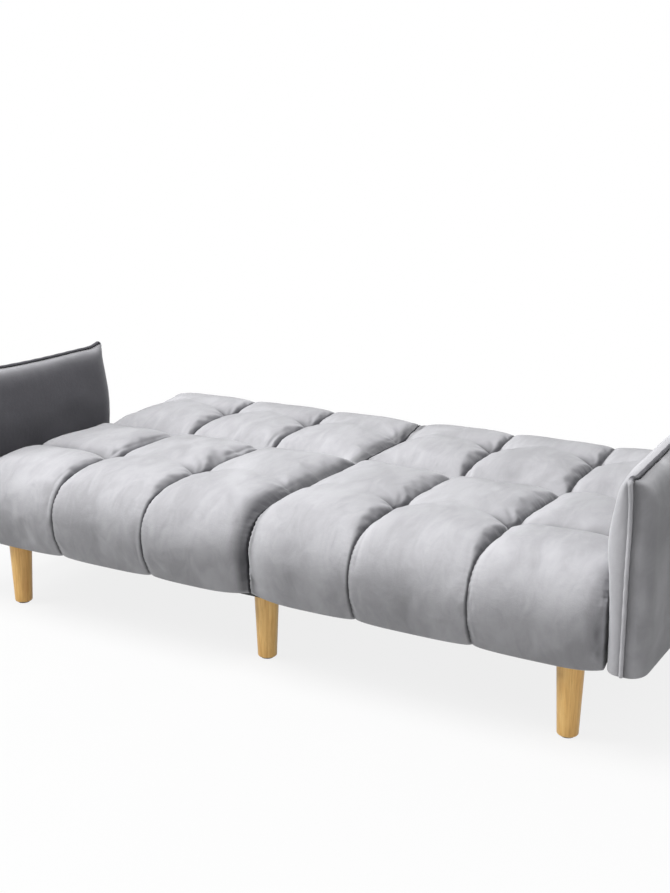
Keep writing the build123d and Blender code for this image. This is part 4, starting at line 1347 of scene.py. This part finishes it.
def staple_row(name, start, step, count, turned):
    """A row of staples, modelled as one bar and repeated along a line."""
    bpy.ops.object.select_all(action="DESELECT")
    bpy.ops.mesh.primitive_cube_add(size=1, location=(0, 0, 0))
    piece = bpy.context.active_object
    piece.name = name
    bpy.ops.object.mode_set(mode="EDIT")
    length, width = (STAPLE_WIRE, STAPLE_LENGTH) if turned else (STAPLE_LENGTH, STAPLE_WIRE)
    bpy.ops.transform.resize(value=(length, width, STAPLE_HEIGHT))
    bpy.ops.transform.translate(value=start)
    bpy.ops.object.mode_set(mode="OBJECT")
    modifier = piece.modifiers.new("Row", "ARRAY")
    modifier.count = count
    modifier.use_relative_offset = False
    modifier.use_constant_offset = True
    modifier.constant_offset_displace = step
    bpy.ops.object.modifier_apply(modifier=modifier.name)
    piece.data.materials.append(FASTENER_STEEL)
    return piece


def staples(name, edges, level):
    """Staples along the four edges of a lining, as one piece."""
    x0, x1, y0, y1 = edges
    first_x = x0 + STAPLE_FROM_CORNER
    first_y = y0 + STAPLE_FROM_CORNER
    count_x = int((x1 - x0 - 2 * STAPLE_FROM_CORNER) / STAPLE_PITCH) + 1
    count_y = int((y1 - y0 - 2 * STAPLE_FROM_CORNER) / STAPLE_PITCH) + 1
    rows = []
    for y in (y0 + STAPLE_INSET, y1 - STAPLE_INSET):
        rows.append(staple_row(name, (first_x, y, level), (STAPLE_PITCH, 0, 0), count_x, False))
    for x in (x0 + STAPLE_INSET, x1 - STAPLE_INSET):
        rows.append(staple_row(name, (x, first_y, level), (0, STAPLE_PITCH, 0), count_y, True))
    bpy.ops.object.select_all(action="DESELECT")
    for row in rows:
        row.select_set(True)
    bpy.context.view_layer.objects.active = rows[0]
    bpy.ops.object.join()
    return rows[0]


def flat_size(piece):
    """Width and length of a stretched cloth, from its edges."""
    points = places(piece)
    size = points.max(0) - points.min(0)
    return float(size[0]), float(size[1])


def linings():
    """Dust covers below the seats and linings on the rears of the backs, each with its staples."""
    for side in ("left", "right"):
        low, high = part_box("seat_dust_cover_" + side)
        edges = (low.x, high.x, low.y, high.y)
        cover = stapled_cloth("dust_cloth_" + side, "seat_dust_cover_" + side, edges, low.z, SEAT_SAG)
        seat_staples = staples("dust_cloth_staples_" + side, edges, low.z)
        low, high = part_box("back_lining_" + side)
        near = HINGE_Y + LINING_FROM_HINGE
        reach = (high.y - low.y) / math.cos(BED_TILT)
        edges = (low.x, high.x, near, near + reach)
        lining = stapled_cloth("back_cloth_" + side, "back_lining_" + side, edges, BACK_BOTTOM, BACK_SAG)
        back_staples = staples("back_cloth_staples_" + side, edges, BACK_BOTTOM)
        for piece in (lining, back_staples):
            turn_about_hinge(piece, BED_TILT)
            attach(piece, "back_" + side)
        for piece in (cover, seat_staples):
            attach(piece, "base")
        for piece, rests_on in ((cover, "seat_cross_rails_"), (lining, "back_cross_rails_")):
            width, length = flat_size(piece)


# Stage, light and camera

def camera():
    """The photograph's camera."""
    data = bpy.data.cameras.new("camera")
    data.lens = CAMERA_LENS
    data.sensor_width = CAMERA_SENSOR
    eye = bpy.data.objects.new("camera", data)
    bpy.context.scene.collection.objects.link(eye)
    eye.location = CAMERA_AT
    eye.rotation_euler = Vector(CAMERA_LOOK).to_track_quat("-Z", "Y").to_euler()
    bpy.context.scene.camera = eye


def pale_floor():
    """A pale floor that is white to the eye further out and keeps the sofa's shadow."""
    bpy.ops.mesh.primitive_plane_add(size=FLOOR_SIZE, location=(0, 0, 0))
    floor = bpy.context.active_object
    floor.name = "floor"
    finish = Finish("floor_white")
    finish.set(Base_Color=finish.mix(finish.noise(3.0), grey(FLOOR_DARK), grey(FLOOR_LIGHT)), Roughness=0.9)
    from_middle = finish.add("ShaderNodeVectorMath", {"operation": "LENGTH"}, {0: finish.place()}, "Value")
    far = from_middle.between(GLOW_NEAR, GLOW_FAR)
    share = finish.seen() * (FLOOR_GLOW + (1 - FLOOR_GLOW) * far)
    lit = Signal(finish, finish.shader.outputs[0])
    glow = finish.add("ShaderNodeEmission", None, {"Color": grey(1.0), "Strength": 1.0})
    both = finish.add("ShaderNodeMixShader", None, {0: share, 1: lit, 2: glow})
    finish.feed(finish.tree.nodes["Material Output"].inputs["Surface"], both)
    floor.data.materials.append(finish.material)


def white_surround():
    """A surround that looks white and gives little light."""
    world = bpy.data.worlds.new("studio")
    bpy.context.scene.world = world
    world.use_nodes = True
    nodes = Nodes(world.node_tree)
    background = nodes.tree.nodes["Background"].inputs
    nodes.feed(background["Color"], grey(1.0))
    nodes.feed(background["Strength"], WORLD_LIGHT + (1 - WORLD_LIGHT) * nodes.seen())


def lamps():
    """Soft round lamps."""
    for name, (at, aim, size, watts) in LAMPS.items():
        light = bpy.data.lights.new(name, "AREA")
        light.shape = "DISK"
        light.size = size
        light.energy = watts
        lamp = bpy.data.objects.new(name, light)
        bpy.context.scene.collection.objects.link(lamp)
        lamp.location = at
        lamp.rotation_euler = (Vector(aim) - Vector(at)).to_track_quat("-Z", "Y").to_euler()


dress_frame()
cushions()
for arm_side in ("left", "right"):
    arm(arm_side)
linings()
camera()
pale_floor()
white_surround()
lamps()
bpy.context.scene.view_settings.view_transform = "Standard"
